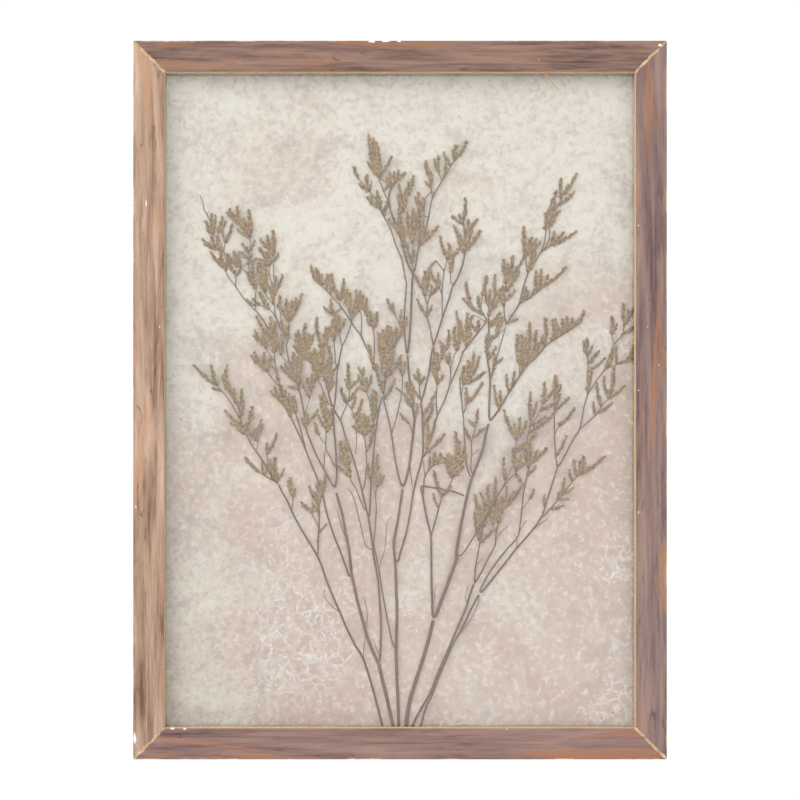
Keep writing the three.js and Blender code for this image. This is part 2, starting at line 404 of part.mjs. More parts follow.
    spikes: [
      [-12, 109.4, -18.3, 115.2, 2], [-13.2, 110.4, -16.4, 115.8, 1.6],
      [-23.4, 126, -25.9, 132.2, 2], [-17, 119, -22.2, 122.4, 2.2], [-17, 119.4, -18.8, 127.5, 2.2],
      [-11.6, 111.5, -12.8, 118.5, 2], [-10.5, 108.8, -11.4, 114.6, 2.2],
      [-8.8, 105.4, -6.3, 113.8, 2],
    ] },
  { name: 'c_high', layer: 1,
    stems: [
      [1.4, 1, 4.9, 27.9, 6, 38.6, 6.8, 55.1, 7.3, 67.4, 7.6, 72, 5.4, 75.9, 3.7, 80.9, 0.9, 91.5,
        -1.7, 100.7, -4.5, 106, -6, 115.1, -4.5, 120.4, -3.3, 122.4, -1, 125.2],
      [0.8, 0.6, -0.6, 97.4, 0.5, 105.2, 3.3, 114.2, 5, 116.7],
      [0.7, 0.5, -6, 113, -8.6, 117.5, -10.7, 123.7, -12.4, 127.4],
      [0.5, 0.4, -4.7, 120.2, -6.2, 122.8, -9.9, 125.3, -12.2, 127],
      [1, 0.7, 7.6, 72, 9.1, 75.6, 10.3, 83.8, 12.6, 91, 14.8, 96.6, 16.9, 105.6, 18.5, 114.2,
        21.4, 120, 26.7, 129, 30.4, 134.8, 34.6, 139.6],
      [0.6, 0.4, 29, 132.6, 27.6, 135.2, 26, 138],
      [0.6, 0.5, 24.2, 124.8, 22.6, 128.2, 21.7, 131],
      [0.7, 0.5, 18.9, 114.9, 17.7, 121.6, 16.1, 128.2],
      [0.8, 0.5, 16.6, 104.4, 14, 104.8, 14.2, 110.9, 15.2, 115.1, 18.1, 118.3, 19.9, 117.6],
      [0.6, 0.5, 13.6, 93, 14, 96.2, 13.8, 100.7, 14.1, 105],
      [0.6, 0.5, 8, 73.6, 7, 78.5, 7.4, 84.6, 8, 92],
      [0.9, 0.6, 10.8, 86, 11.5, 96.6, 12.2, 107.7, 11.5, 111],
    ],
    spikes: [
      [0, 95.5, -5.9, 102.3, 2], [-1.3, 98, -0.2, 115.7, 2.2], [0.2, 94.5, 0.8, 103.5, 2.6],
      [-1.3, 99.5, -3.8, 103.4, 1.6], [1.2, 91, 0.6, 99.5, 2.6], [2.2, 87, 2.4, 97.5, 2.6],
      [4.8, 116.4, 8.1, 126.4, 2.4], [4.8, 116.3, 5.3, 123, 1.6], [2.4, 111.4, -0.3, 122, 2],
      [3, 113.6, 4.2, 120, 2.4], [0.8, 106, 4.2, 114, 3], [-2, 124, 3.2, 128.8, 2.2],
      [-1, 125, -0.5, 130.2, 1.6], [-2.8, 122.8, -3.1, 129.2, 2], [-4, 121, -5.6, 128.4, 2.6],
      [-4.6, 120.4, -7.3, 126.2, 2], [-12.4, 127, -17.6, 149.8, 2.4], [-13.6, 133, -15, 147.7, 2.4],
      [-13.2, 132, -13.3, 145.9, 2], [-12.8, 129.6, -12, 143.2, 2.2],
      [-12.6, 128.6, -12.4, 138.8, 3], [-12.2, 127.6, -17.7, 134.6, 2.2],
      [-11.8, 127, -4.5, 137.6, 2.2], [-12, 127.6, -10.8, 136.8, 2.2],
      [-11.6, 126.4, -7.4, 131.8, 2], [-9.2, 118.6, -5.6, 123, 1.6], [34, 138.8, 38, 146.2, 2.4],
      [32.6, 137.4, 32, 143.8, 2.8], [31.4, 136, 30.5, 141.9, 2], [28.6, 133.4, 25.2, 140.1, 2],
      [25, 126.2, 26.4, 134.5, 2], [22.3, 129, 22.1, 137.9, 2.4], [22.2, 129, 19.8, 136.3, 1.8],
      [15.9, 128, 15, 135, 2.4], [17.6, 121.6, 18.2, 129.2, 2], [17.7, 120.4, 14.8, 123.7, 1.2],
      [12, 88.5, 21.8, 98.2, 2.6], [15, 91.4, 16, 94.8, 2], [7.1, 78, 3.9, 88.7, 2.2],
      [7.2, 79, 8.6, 84.8, 1.8], [7.6, 89, 4.3, 106.3, 2.4], [7.8, 90, 7.8, 107.8, 2.4],
      [7.9, 91, 9.2, 105.6, 2], [11.8, 109.6, 10.5, 117.5, 1.8], [12, 108.4, 8.8, 115, 1.4],
      [12.2, 107, 13.8, 114.2, 1.8], [11.6, 98, 11, 108.5, 3], [10.9, 88, 13.6, 98, 2.8],
    ] },
  { name: 'c_tall', layer: 0,
    stems: [
      [1.2, 0.9, -0.7, -91, 0.5, -86.7, 3.7, -76, 6.2, -63.7, 8.1, -51.4, 10.7, -41.1, 13.3, -31.2,
        13.4, -19.3, 12.8, -4.9, 12.4, -1.3, 14.8, 7.4, 16.9, 16.4, 18.1, 25.8, 19.3, 30.8,
        21.8, 38.6, 24.7, 47.7, 27.6, 55.9, 30.2, 64.9],
      [0.8, 0.6, 12.6, -3, 11.6, 5, 11.3, 11.5],
      [1.1, 0.7, 30.2, 64.9, 33.3, 70.2, 36.6, 80.1, 37.4, 90, 36.6, 99.9, 36.2, 107.7],
      [0.9, 0.6, 19.3, 30.8, 18.7, 34.5, 17.1, 42.7, 15.7, 47.7, 15.9, 53.4, 14.8, 58.3, 12.4, 64.9],
      [0.6, 0.5, 15.7, 54.5, 17.7, 59.6, 19.8, 62],
      [0.7, 0.5, 24.7, 47.7, 24.4, 49.4, 24.3, 60.4, 25.1, 71.5, 26.7, 78, 28, 80.5],
      [0.7, 0.6, 25.4, 73.6, 22.6, 77.2, 20.6, 79.7],
      [0.5, 0.5, 24.4, 60, 22.6, 64.6],
      [0.6, 0.5, 29.4, 66.9, 29, 72.3, 28, 79],
    ],
    spikes: [
      [12, 1, 6.3, 9.2, 2.2], [11.4, 10, 8.4, 14.3, 1.6], [11.3, 11, 10.4, 17.4, 1.8],
      [11.5, 9, 14.1, 12.9, 1.8], [13.2, -9, 20.6, 4.6, 2], [13.5, -15.5, 19.4, -2.7, 2.2],
      [36.4, 102, 37.7, 114.2, 2], [36.6, 99.9, 30.4, 104, 1.8], [36.4, 100.4, 34, 105, 1.5],
      [37.1, 94.8, 44, 102.4, 2.4], [37.2, 92, 39.4, 102.2, 1.8], [37.3, 88, 31.1, 98.7, 2.4],
      [36.9, 84.6, 45.6, 95.6, 2.6], [37, 83, 33.3, 91.8, 1.5], [37.2, 86, 41, 96, 2.4],
      [15.8, 47.6, 10.3, 57, 1.8], [15.8, 48.6, 18.5, 53.2, 1.6], [12.9, 63.6, 9.1, 70.5, 1.8],
      [13.8, 61, 13.6, 69, 2], [14.4, 59.6, 14.8, 72.6, 2.4], [14.4, 59.4, 17.3, 74.3, 2.6],
      [18.7, 60.4, 23.1, 66.2, 2], [17.4, 58.8, 18.4, 65, 1.6], [27.6, 80, 23.1, 92.7, 2.2],
      [28, 80, 28.4, 88.2, 3], [28, 80.2, 34.4, 86.6, 2.6], [21, 79.7, 17.4, 75.4, 1.8],
      [22.8, 64.4, 18, 72, 2.2], [22.6, 64.8, 22, 71.8, 2], [29.1, 72.6, 30.6, 80.7, 2.4],
    ] },
  { name: 'd_stem', layer: 0,
    stems: [
      [2.4, 2, 3.8, -186.2, 5.8, -171.4, 9, -160.3, 13, -148, 16, -138, 18.5, -128, 19.3, -124.8],
    ],
    spikes: [
    ] },
  { name: 'd_left', layer: 0,
    stems: [
      [1.4, 0.9, 19, -121.6, 18.5, -110, 18.2, -100, 18.1, -85.5, 17.7, -75.6, 15.2, -64.9,
        13.4, -54.7, 12.4, -48.9, 15.2, -48.7, 22.6, -50, 30, -51.4, 36.8, -53.9],
      [0.9, 0.6, 13.4, -54, 14.2, -44.4, 14.8, -42.4, 16.5, -39.9, 19.8, -36.6, 25.1, -35.2],
      [0.6, 0.4, 14.6, -43, 14, -38.3, 13.9, -34.2],
      [0.4, 0.3, 18.9, -116, 20.3, -112, 20.1, -108, 21.2, -105.2],
      [0.9, 0.6, 17.9, -77, 20.2, -69.1, 22.4, -60.8, 24.3, -54.7, 28, -49, 30.8, -42.5, 31.8, -33],
    ],
    spikes: [
      [16.9, -39.3, 17.4, -32.5, 1.5], [19.3, -36.8, 20.3, -30.2, 2.2],
      [21.5, -36, 23.7, -30.8, 2.4], [22.2, -60.8, 19.2, -53.8, 1.5], [24.2, -55, 19.9, -40.7, 2],
      [25, -53.8, 28.9, -49, 2.4], [30, -43.9, 25.8, -33.5, 3], [30.4, -43, 27.7, -31.5, 3],
      [31, -42.5, 29.6, -32, 3], [30.4, -43.4, 36, -37.7, 2.6], [31.6, -35, 32.3, -18.7, 2.6],
      [31.6, -36, 34.3, -24.2, 3], [31.4, -38, 37.2, -26.5, 3], [31.2, -38.5, 37.8, -31.6, 2.6],
    ] },
  { name: 'd_rise', layer: 0,
    stems: [
      [0.9, 0.7, 14.4, -31.2, 16.9, -23.4, 20.6, -11.5, 21.8, -7.8, 25.5, 0, 28.4, 7.8, 30.8, 13.5,
        34.1, 21.3, 36, 27],
      [0.7, 0.5, 21.4, -8.4, 21, 0.4, 21.4, 9, 21.6, 14.8, 23, 21.3, 25.5, 27.1, 27.6, 29.5],
      [0.5, 0.4, 21.3, 8.4, 20.2, 12.7, 17.8, 18.2],
      [0.6, 0.5, 28.6, 8.6, 29.2, 17.6, 28.4, 20.1, 27.5, 22.8],
      [0.5, 0.4, 29, 16.8, 30.4, 23, 31.7, 26.7, 32.9, 28.7],
      [1, 0.6, 36, 27, 36.6, 28.4, 39.1, 31.2, 42.7, 36.2, 47.3, 41.9, 49.3, 45.4, 48.1, 48.5,
        46.4, 51.8, 45.2, 53.4],
      [0.5, 0.4, 48.2, 45.4, 46, 46.4, 44.4, 47.7, 41.5, 48.5],
      [0.5, 0.4, 46.2, 52, 46.8, 56, 47.2, 60.5],
      [0.5, 0.4, 44.6, 50.8, 40.6, 53.6],
    ],
    spikes: [
      [21.4, 9.4, 24.9, 14.1, 1.8], [21.4, 11.4, 18.3, 23.2, 2.4], [21.4, 13, 20, 23.2, 2.4],
      [22.3, 18.6, 19.2, 29.8, 2], [22.2, 17, 21.6, 26, 2.4], [24.2, 23.6, 24.4, 30.2, 2],
      [27.9, 21.2, 26.2, 25.3, 1.5], [28.1, 20.8, 28.7, 26.2, 1.5], [16.2, -25.6, 20.4, -11.6, 2],
      [14.8, -30, 25.4, -19.4, 2], [15.6, -27.6, 16.6, -17.5, 2.4], [15.8, -27, 16, -13, 2.2],
      [27, 28.6, 22.9, 33.3, 1.8], [27.4, 29.1, 28.3, 39.2, 2], [32.6, 28.1, 31.2, 41.1, 2.4],
      [33, 28.4, 34.2, 39, 3], [41.9, 48.5, 40.2, 45.4, 2], [44.8, 38.9, 40.6, 43.4, 2.4],
      [44.8, 39, 44.9, 44.7, 2], [38.4, 30.8, 32.4, 50.3, 2.2], [38.2, 30.8, 34.4, 44.6, 2.4],
      [38.8, 31.4, 38.5, 48.8, 2.6], [40, 32.6, 39.8, 44, 2.6], [45.4, 53, 44.6, 59, 1.6],
      [47.1, 59.6, 49.6, 70, 2.6], [47.8, 48.6, 36.3, 57.3, 2.2], [41.1, 53.4, 37.7, 66.8, 2],
    ] },
  { name: 'e_stem', layer: 1,
    stems: [
      [2.2, 1.4, 20.3, -122, 24, -113, 28.5, -100.5, 32.3, -90.5, 32.2, -86.7, 34.1, -75.2,
        36.2, -64.1, 39.5, -49.3, 41.9, -41.8, 46.9, -28.8, 48.9, -19.8, 50.6, -13.1],
      [0.8, 0.6, 41.9, -41.8, 41.2, -40.8, 40.4, -38.5, 41, -30.9, 40.9, -23.4, 42.7, -16.4,
        42.7, -14],
      [0.5, 0.4, 41, -31.4, 43.4, -29, 44.6, -27.2],
    ],
    spikes: [
      [41, -23, 37, -16.2, 2.2], [42.6, -15, 39.5, -11.3, 1.8], [42.6, -14.6, 44.6, -5.6, 1.8],
      [41.6, -21, 48.2, -15.8, 2.2],
    ] },
  { name: 'e_branch', layer: 0,
    stems: [
      [0.9, 0.6, 39.9, -42.3, 38.2, -36.2, 37.2, -25.5, 36.4, -10.3, 35.4, -0.8, 34.4, 9, 34.4, 13.6],
      [0.7, 0.5, 36.4, -7, 37.4, -4.9, 38.4, -1.3],
      [0.6, 0.5, 35.2, 2, 36.2, 8.6, 39, 10],
    ],
    spikes: [
      [38.1, -2, 47.1, 9.4, 2.6], [37.8, -3, 38.1, 6.3, 2.2], [36.4, 9, 36.4, 18.8, 3],
      [38, 9.8, 39.5, 22, 3], [38, 9.6, 48.2, 15.6, 2.4], [37.6, 9.6, 42.4, 26, 3],
      [38.4, 9.9, 45.4, 24.4, 2.4],
    ] },
  { name: 'e_left', layer: 0,
    stems: [
      [1.3, 0.7, 51.1, -9.6, 51.2, 1.2, 51.6, 12.3, 50.3, 21.7, 49.4, 30.5, 51, 34.5, 50.5, 46.8,
        51, 51, 50, 56, 48.7, 59.2],
      [0.9, 0.6, 51.7, 11, 53.8, 19.7, 57.1, 30.4, 60.4, 41.9],
      [0.6, 0.5, 49.4, 30.6, 54.2, 35.8, 59.2, 40.3],
    ],
    spikes: [
      [54, 20.2, 58.3, 23.6, 1.2], [52, 14, 54.4, 25, 1.4], [50.2, 23, 54.6, 29.8, 1.8],
      [50, 24, 49.7, 37.2, 2], [49.5, 29, 52.6, 36.5, 1.6], [53.4, 34.8, 58.4, 45, 3],
      [55.6, 37.2, 56.4, 45, 2.4], [50.8, 43.4, 57.2, 49.2, 2.2], [51, 42, 58, 46.6, 2],
      [50.9, 50, 55.9, 57, 3], [50.8, 48, 52.6, 55.3, 2.4], [50.2, 55, 48.3, 61.5, 2],
      [50.4, 53.4, 55.5, 61.3, 2.2], [50.4, 54, 51.5, 62.6, 1.8], [54.6, 59.4, 54.1, 70.5, 2.6],
      [55, 60.4, 58.8, 64.3, 1.8],
    ] },
  { name: 'e_right', layer: 0,
    stems: [
      [1.2, 0.7, 52.2, -10.8, 57.1, -4.1, 61.9, 4.1, 67, 12, 72.5, 20, 78, 25, 83, 31, 88.5, 35,
        96, 39.5, 102.5, 44, 104.2, 46.5],
      [0.6, 0.5, 68.2, 13.9, 68.4, 21.5],
    ],
    spikes: [
      [56.6, -4.4, 53.7, 8, 1.8], [57.8, -2.4, 57.2, 5, 1.4], [62.4, 4.6, 60.7, 14, 1.8],
      [63.8, 7.6, 65.3, 15.2, 2.2], [68.3, 20, 67, 36.5, 3], [68.4, 20.5, 69.6, 36.5, 3],
      [69.2, 16.4, 72, 35.2, 3], [71, 18.4, 74, 43, 3], [74.6, 22, 77.8, 38.7, 3],
      [74.8, 22.4, 79, 32, 2.4], [76, 23.4, 81.5, 36.4, 2.4], [82.2, 30, 83.2, 46, 2.6],
      [87, 34.2, 87.4, 45.7, 2.4], [88.5, 35, 90.4, 41.5, 2], [92.2, 37.4, 88.4, 46.2, 1.3],
      [92.8, 37.8, 93, 45.3, 2.6], [95, 39, 95.2, 46.8, 2.6], [97.2, 40.2, 98.2, 46, 2],
      [97.5, 40.3, 105, 50.2, 2.2],
    ] },
  { name: 'e_upper', layer: 0,
    stems: [
      [1.1, 0.7, 61, 43.8, 65, 50, 68.2, 55.5, 70, 63, 73.2, 72.7, 77, 78.5, 80.5, 84.5, 86, 88],
      [0.4, 0.3, 64.6, 49.6, 61.5, 47.5],
      [0.7, 0.5, 68, 54.8, 74.5, 58.5, 79.5, 62.5, 82.5, 65.6],
      [0.7, 0.5, 72.9, 72, 72, 78.5, 71.9, 84],
      [0.8, 0.6, 80.3, 84.1, 82.4, 90, 83.2, 97.5, 82.8, 102, 84.5, 108.5, 87, 113],
      [0.8, 0.5, 82.6, 86, 85.3, 93, 85.2, 100, 88.5, 107.5, 93.5, 117.5],
      [0.9, 0.5, 61, 43.8, 60.2, 45.4, 59.6, 49.3, 59.5, 54, 60.7, 68.5],
    ],
    spikes: [
      [61.4, 44.6, 66.4, 45.8, 1.6], [81.5, 64.6, 94.4, 75.1, 2.6], [79.4, 62.6, 80.6, 73.8, 2.8],
      [78.2, 61.4, 77.6, 73, 2], [82.2, 65.2, 84.5, 70.5, 2.4], [73.9, 58.2, 76.7, 62.7, 1.6],
      [72.3, 57.2, 73.2, 61.6, 1.4], [69.2, 55.4, 71.9, 64, 1.8], [71.8, 82, 70.4, 98.2, 2.6],
      [71.9, 83.4, 75.2, 91.7, 2.8], [72, 83, 77.6, 91.4, 2.4], [72, 82, 79.9, 89.8, 2.2],
      [73, 73, 75.6, 82.8, 2.6], [74.4, 74.4, 77.4, 85, 2], [86.2, 111.6, 89.2, 118.6, 2],
      [83.1, 97, 83.6, 106, 2.4], [83.2, 103.4, 87.2, 112, 2.6], [93.1, 117, 100.6, 128.5, 2.6],
      [91.8, 114.5, 91.7, 125.1, 2.6], [90, 110.4, 98.9, 117.8, 2.4], [86.9, 104, 91.1, 107.6, 1.4],
      [85.2, 98.4, 88.3, 103, 1.6], [86.2, 102, 88.5, 112, 2.4], [85.8, 88, 99.7, 95.3, 2.4],
      [85.5, 88, 88, 95, 2.6], [85.9, 88.2, 93, 95, 2], [60.7, 67.8, 59.1, 79.1, 2.8],
      [60.7, 66.4, 64.7, 81.3, 3], [60.7, 68, 61.8, 76.5, 2.4], [60.7, 67, 71.3, 82.5, 2.2],
      [60.4, 62, 67.6, 72.5, 2.4], [59.6, 56.4, 65.4, 62, 1.8], [59.5, 53.5, 56.8, 60.5, 2.2],
      [59.9, 58, 58.6, 64.2, 1.6],
    ] },
  { name: 'f_stem', layer: 0,
    stems: [
      [1.3, 1.1, 6.5, -186.2, 11.6, -176, 17.5, -166.2, 21.5, -155.7, 28.5, -139.6, 33.6, -127.5,
        37.5, -118.5, 40, -110.5, 42.3, -104],
      [0.4, 0.3, 38.6, -115, 37.4, -112.3, 37.8, -110, 39.2, -104.6],
    ],
    spikes: [
    ] },
  { name: 'f_left', layer: 0,
    stems: [
      [0.9, 0.7, 42.8, -102.2, 43.2, -95, 45.8, -80.5, 47, -73, 47.6, -69],
      [0.4, 0.3, 43.4, -94, 46, -90.8, 47, -89.8],
    ],
    spikes: [
      [45.8, -80.6, 52.2, -74.6, 2.2], [45.9, -79.5, 42.8, -64.3, 2.6], [46.3, -78, 46, -66.7, 3],
      [47.3, -70.7, 43, -54, 2.2], [47.4, -70, 45.6, -60.2, 2.8], [47.4, -71.5, 48.2, -59.8, 3],
      [46.9, -73.5, 50.2, -62, 2.6],
    ] },
  { name: 'f_right', layer: 1,
    stems: [
      [1.1, 0.7, 43, -102.9, 46.5, -97.3, 50, -90, 54.2, -82.2, 54.9, -74.8, 57.3, -65.8, 59, -61],
      [0.6, 0.5, 54.9, -74.8, 52.4, -69.4, 51.5, -62],
      [0.5, 0.4, 54.7, -79, 58.3, -73.6, 62.1, -71],
    ],
    spikes: [
      [52.9, -70.5, 54.2, -59.8, 3], [52.2, -68.6, 50.6, -58, 3], [56.2, -69.5, 55.9, -57.8, 2.8],
      [51.6, -62.6, 50.1, -48.3, 2], [51.6, -63, 46.1, -53, 2.2], [51.8, -64, 54.2, -51.6, 3],
      [56.4, -68, 54.4, -44.2, 2.6], [57.6, -64.6, 58.5, -55.3, 2.4],
      [58.8, -61.6, 69.6, -48.6, 2.6], [58.6, -61.8, 60.9, -49.1, 1.8],
      [58.8, -61.4, 64.6, -52.3, 1.8],
    ] },
  { name: 'e_cross', layer: 2,
    stems: [
      [0.9, 0.7, 34.8, -87.7, 37.4, -84.6, 42.3, -76.9, 46.9, -69.5, 51.4, -61.3, 57.1, -51.4,
        62, -44.8, 65.6, -41.3, 65.7, -38],
      [0.7, 0.5, 57.8, -50.4, 61.9, -41.5, 65.6, -33, 66.2, -21],
      [0.7, 0.5, 65.9, -29.5, 70.5, -26.5, 73, -19, 74.4, -10],
      [0.6, 0.5, 74, -14, 78.5, -8, 81.3, -1],
    ],
    spikes: [
      [65.7, -39.5, 64.4, -27.8, 3], [65.7, -39.4, 69, -31, 3], [65.6, -40, 70, -36, 2.4],
      [65.6, -41.2, 70, -47.4, 1.8], [60.2, -45.4, 58.8, -33.5, 2.4], [66.2, -21.6, 59.1, -6.3, 2.4],
      [66.2, -22, 68.3, -10.7, 2.6], [66.2, -22.4, 64.6, -14, 2], [66.2, -22.6, 71.9, -12.5, 2],
      [66, -27.6, 77.4, -19.3, 2.2], [73.2, -18.6, 88, -7.4, 2.4], [81.2, -2, 87.6, 5.8, 2.4],
      [81.2, -1.6, 82.2, 9.4, 2.4], [79.6, -6, 87, -2.4, 2.2], [74.4, -11, 74.2, 4, 2.6],
      [74.3, -12, 77.8, -1.8, 2], [74, -14.6, 82.2, -9.8, 2],
    ] },
  { name: 'g_stem', layer: 1,
    stems: [
      [1.2, 1.1, 11.4, -186.2, 14.9, -174.7, 18.8, -166.2, 22.8, -155.5, 29.8, -139.6,
        35.9, -128.5, 40.5, -118.7, 45, -110],
      [0.5, 0.4, 33.1, -133.6, 36, -130, 41, -123.2, 44.5, -115.5, 45.1, -111],
    ],
    spikes: [
    ] },
  { name: 'g_left', layer: 0,
    stems: [
      [0.9, 0.7, 45.8, -107.6, 50, -99.5, 54.5, -92.8, 61, -84.5, 67, -77.7, 68.5, -70.5,
        69.7, -60, 70.5, -52, 73.2, -40, 74.4, -34],
      [0.5, 0.4, 69.5, -62, 74.5, -55.5],
      [0.4, 0.3, 67.9, -74.4, 70, -71.5, 72.3, -67.8],
    ],
    spikes: [
      [74, -36, 83.4, -27.6, 2.6], [73.8, -37, 74.2, -24.3, 2.4], [73.5, -38.5, 71.6, -28, 3],
      [73.8, -36.4, 78.6, -28.8, 2.4], [72.7, -42.6, 77.3, -37.6, 1.6], [74.2, -56, 76.4, -51, 1.5],
    ] },
  { name: 'g_right', layer: 0,
    stems: [
      [1.1, 0.8, 46.6, -108.6, 50.8, -103.8, 57, -96, 66.8, -83.6, 73.5, -76, 80.5, -66.5, 85, -53,
        89.2, -39.5, 89.7, -38],
      [0.5, 0.3, 66.6, -83.8, 66.7, -80, 65.2, -75],
      [0.7, 0.4, 76, -73, 83.9, -67],
      [0.8, 0.5, 80.5, -66.5, 82, -65.4, 88, -58.7, 95, -50, 100.5, -43.5, 104, -41],
    ],
    spikes: [
      [82.7, -60.5, 82.1, -54.4, 1.3], [103, -41.5, 116.3, -32.3, 2.4],
      [103.4, -41.4, 105.1, -32.4, 2.6], [101, -43.2, 99, -34.2, 2.2],
      [102.2, -42.2, 102.5, -35, 2.2], [98.2, -46.2, 96.5, -39.8, 1.8],
      [91.6, -54.4, 93.9, -44.5, 1.4], [92.4, -53.4, 98.4, -49.8, 2.2],
      [90.2, -56.2, 95.4, -56, 1.8], [85.4, -61.9, 92.8, -59.9, 1.6], [90, -56.6, 91.5, -51.5, 2],
    ] },
  { name: 'g_mid', layer: 0,
    stems: [
      [0.8, 0.6, 89.4, -36.6, 88.2, -23, 88, -4, 88.4, 2],
      [0.5, 0.4, 88.2, -19, 91.2, -13.8],
    ],
    spikes: [
      [88.3, 1, 88.7, 13.2, 3], [88.3, 1.4, 91.6, 8.4, 2.2], [88, -5.6, 95.9, 1.2, 1.8],
      [88.1, -4.5, 91, 3, 2], [90.8, -14.4, 99.3, -5, 2.2], [88.9, -31.4, 94.9, -20.5, 1.3],
    ] },
  { name: 'g_tall', layer: 0,
    stems: [
      [0.9, 0.6, 90.6, -36.8, 94, -31, 99, -21.4, 102.6, -15.6, 105, -3, 106.9, 4, 106.7, 13,
        107.2, 22, 105.6, 28],
      [0.6, 0.5, 106.8, 3, 111, 10, 116, 17, 118.5, 23.5, 122.2, 32.5],
      [0.6, 0.5, 116, 17, 120.5, 19.4, 130.5, 23.4],
      [0.6, 0.5, 122.1, 32, 121, 35, 120.2, 39],
      [0.6, 0.5, 122, 32.1, 126.5, 37.5, 127.8, 45.5],
      [0.7, 0.5, 102.6, -15.6, 103.6, -15.2, 108.5, -11, 113, -6.5, 115.5, -2, 119.6, 1.6],
    ],
    spikes: [
      [106, 26.6, 106.5, 34.8, 2.4], [106.4, 25, 109.4, 30.5, 1.8], [106, 26.8, 104.5, 33, 2],
      [107, 21, 112.7, 27.2, 2.6], [106.9, 16.4, 116.3, 23.4, 1.8], [106.8, 5.6, 109, 18, 2.2],
      [124.5, 21, 134, 24.8, 2], [130.1, 23.2, 133, 30.8, 2], [123.6, 20.6, 123, 30.2, 1.8],
      [118.4, 18.5, 121.4, 29.4, 2.8], [120.3, 38, 121.1, 47.3, 2.2], [120.4, 37.4, 123.4, 43, 1.8],
      [127.7, 44, 127, 54.3, 2.4], [127.6, 43.4, 130.2, 50.8, 1.6], [127.4, 42, 132.8, 52, 2],
      [126.6, 37.4, 134, 42, 2], [119.3, 1.2, 127.6, 7.9, 2], [119.3, 1.2, 122, 18.8, 3.2],
      [118.8, 1, 115.9, 12.8, 1.8], [114.6, -3.4, 112, 9.2, 1.8], [112.4, -7, 120.4, -2, 2.2],
      [111.2, -8.4, 110, -1.3, 1.6],
    ] },
];

const colours = {
  rail: ['#a98773', 0.6, 0],
  glass: ['#eef4f2', 0.05, 0],
  card: ['#d6cabe', 0.9, 0],
  board: ['#8d6a48', 0.85, 0],
  spacer: ['#d8cfc0', 0.9, 0],
  steel: ['#b9bbbd', 0.35, 0.9],
  plant: ['#857046', 0.8, 0],
};

const root = new THREE.Group();

function material(kind) {
  const [color, roughness, metalness] = colours[kind];
  return new THREE.MeshStandardMaterial({ color, roughness, metalness });
}

function place(name, geometry, kind) {
  const mesh = new THREE.Mesh(geometry, material(kind));
  mesh.name = name;
  root.add(mesh);
  return mesh;
}

function welded(geometry) {
  const bare = geometry.clone();
  bare.deleteAttribute('normal');
  bare.deleteAttribute('uv');
  return mergeVertices(bare, WELD);
}

function toManifold(geometry) {
  const closed = welded(geometry);
  const vertProperties = new Float32Array(closed.attributes.position.array);
  const triVerts = new Uint32Array(closed.index.array);
  return new wasm.Manifold(new wasm.Mesh({ numProp: 3, vertProperties, triVerts }));
}

function toGeometry(solid) {
  const mesh = solid.getMesh();
  const geometry = new THREE.BufferGeometry();
  geometry.setAttribute('position', new THREE.BufferAttribute(mesh.vertProperties, 3));
  geometry.setIndex(new THREE.BufferAttribute(mesh.triVerts, 1));
  return geometry;
}

function box(x, y, z, middle) {
  return new THREE.BoxGeometry(x, y, z).translate(...middle);
}

// One rail lying along X, seen from its outer edge: x is the length, y the depth and z the
// distance in from the outer edge. Both ends are mitred.
function railGeometry(length) {
  const profile = new THREE.Shape();
  profile.moveTo(0, EDGE_BREAK);
  profile.lineTo(EDGE_BREAK, 0);
  profile.lineTo(FACE - EDGE_BREAK, 0);
  profile.lineTo(FACE, EDGE_BREAK);
  profile.lineTo(FACE, LIP);
  profile.lineTo(WALL, LIP);
  profile.lineTo(WALL, RAIL_DEPTH);
  profile.lineTo(0, RAIL_DEPTH);
  profile.closePath();
  const geometry = new THREE.ExtrudeGeometry(profile, { depth: 1, steps: 1, bevelEnabled: false });
  const points = geometry.attributes.position;
  for (let i = 0; i < points.count; i += 1) {
    const inward = points.getX(i);
    const depth = points.getY(i);
    const half = length / 2 - inward - MITRE_GAP;
    const along = points.getZ(i) > 0.5 ? -half : half;
    points.setXYZ(i, along, FRONT + depth, inward);
  }
  return geometry;
}

function tabSlot(side, height) {
  const reach = TAB.bite + FIT;
  const x = side * (WIDTH / 2 - WALL + (reach - SLOT_MARGIN) / 2);
  const middle = [x, TAB_FRONT + TAB.thickness / 2, height];
  return toManifold(box(reach + SLOT_MARGIN, TAB.thickness + 2 * FIT, TAB.width + 2 * FIT, middle));
}

function addRails() {
  const sides = [
    ['rail_top', WIDTH, Math.PI, HEIGHT / 2],
    ['rail_bottom', WIDTH, 0, HEIGHT / 2],
    ['rail_left', HEIGHT, Math.PI / 2, WIDTH / 2],
    ['rail_right', HEIGHT, -Math.PI / 2, WIDTH / 2],
  ];
  for (const [name, length, turn, reach] of sides) {
    const geometry = railGeometry(length);
    geometry.translate(0, 0, -reach);
    geometry.rotateY(turn);
    let solid = toManifold(geometry);
    if (name === 'rail_top') solid = cutNailHoles(solid);
    if (name === 'rail_left') solid = cutTabSlots(solid, -1);
    if (name === 'rail_right') solid = cutTabSlots(solid, 1);
    place(name, toGeometry(solid), 'rail');
  }
}

function cutTabSlots(solid, side) {
  return solid.subtract(tabSlot(side, TAB.height)).subtract(tabSlot(side, -TAB.height));
}

function cutNailHoles(solid) {
  let cut = solid;
  for (const x of [-HANGER.holeOffset, HANGER.holeOffset]) {
    const radius = NAIL.shank + FIT;
    const bore = new THREE.CylinderGeometry(radius, radius, NAIL.length + BORE_MARGIN, NAIL.sides);
    bore.translate(x, RAIL_BACK - NAIL.length / 2, hangerHeight());
    cut = cut.subtract(toManifold(bore));
  }
  return cut;
}

function hangerHeight() {
  return HEIGHT / 2 - WALL / 2;
}

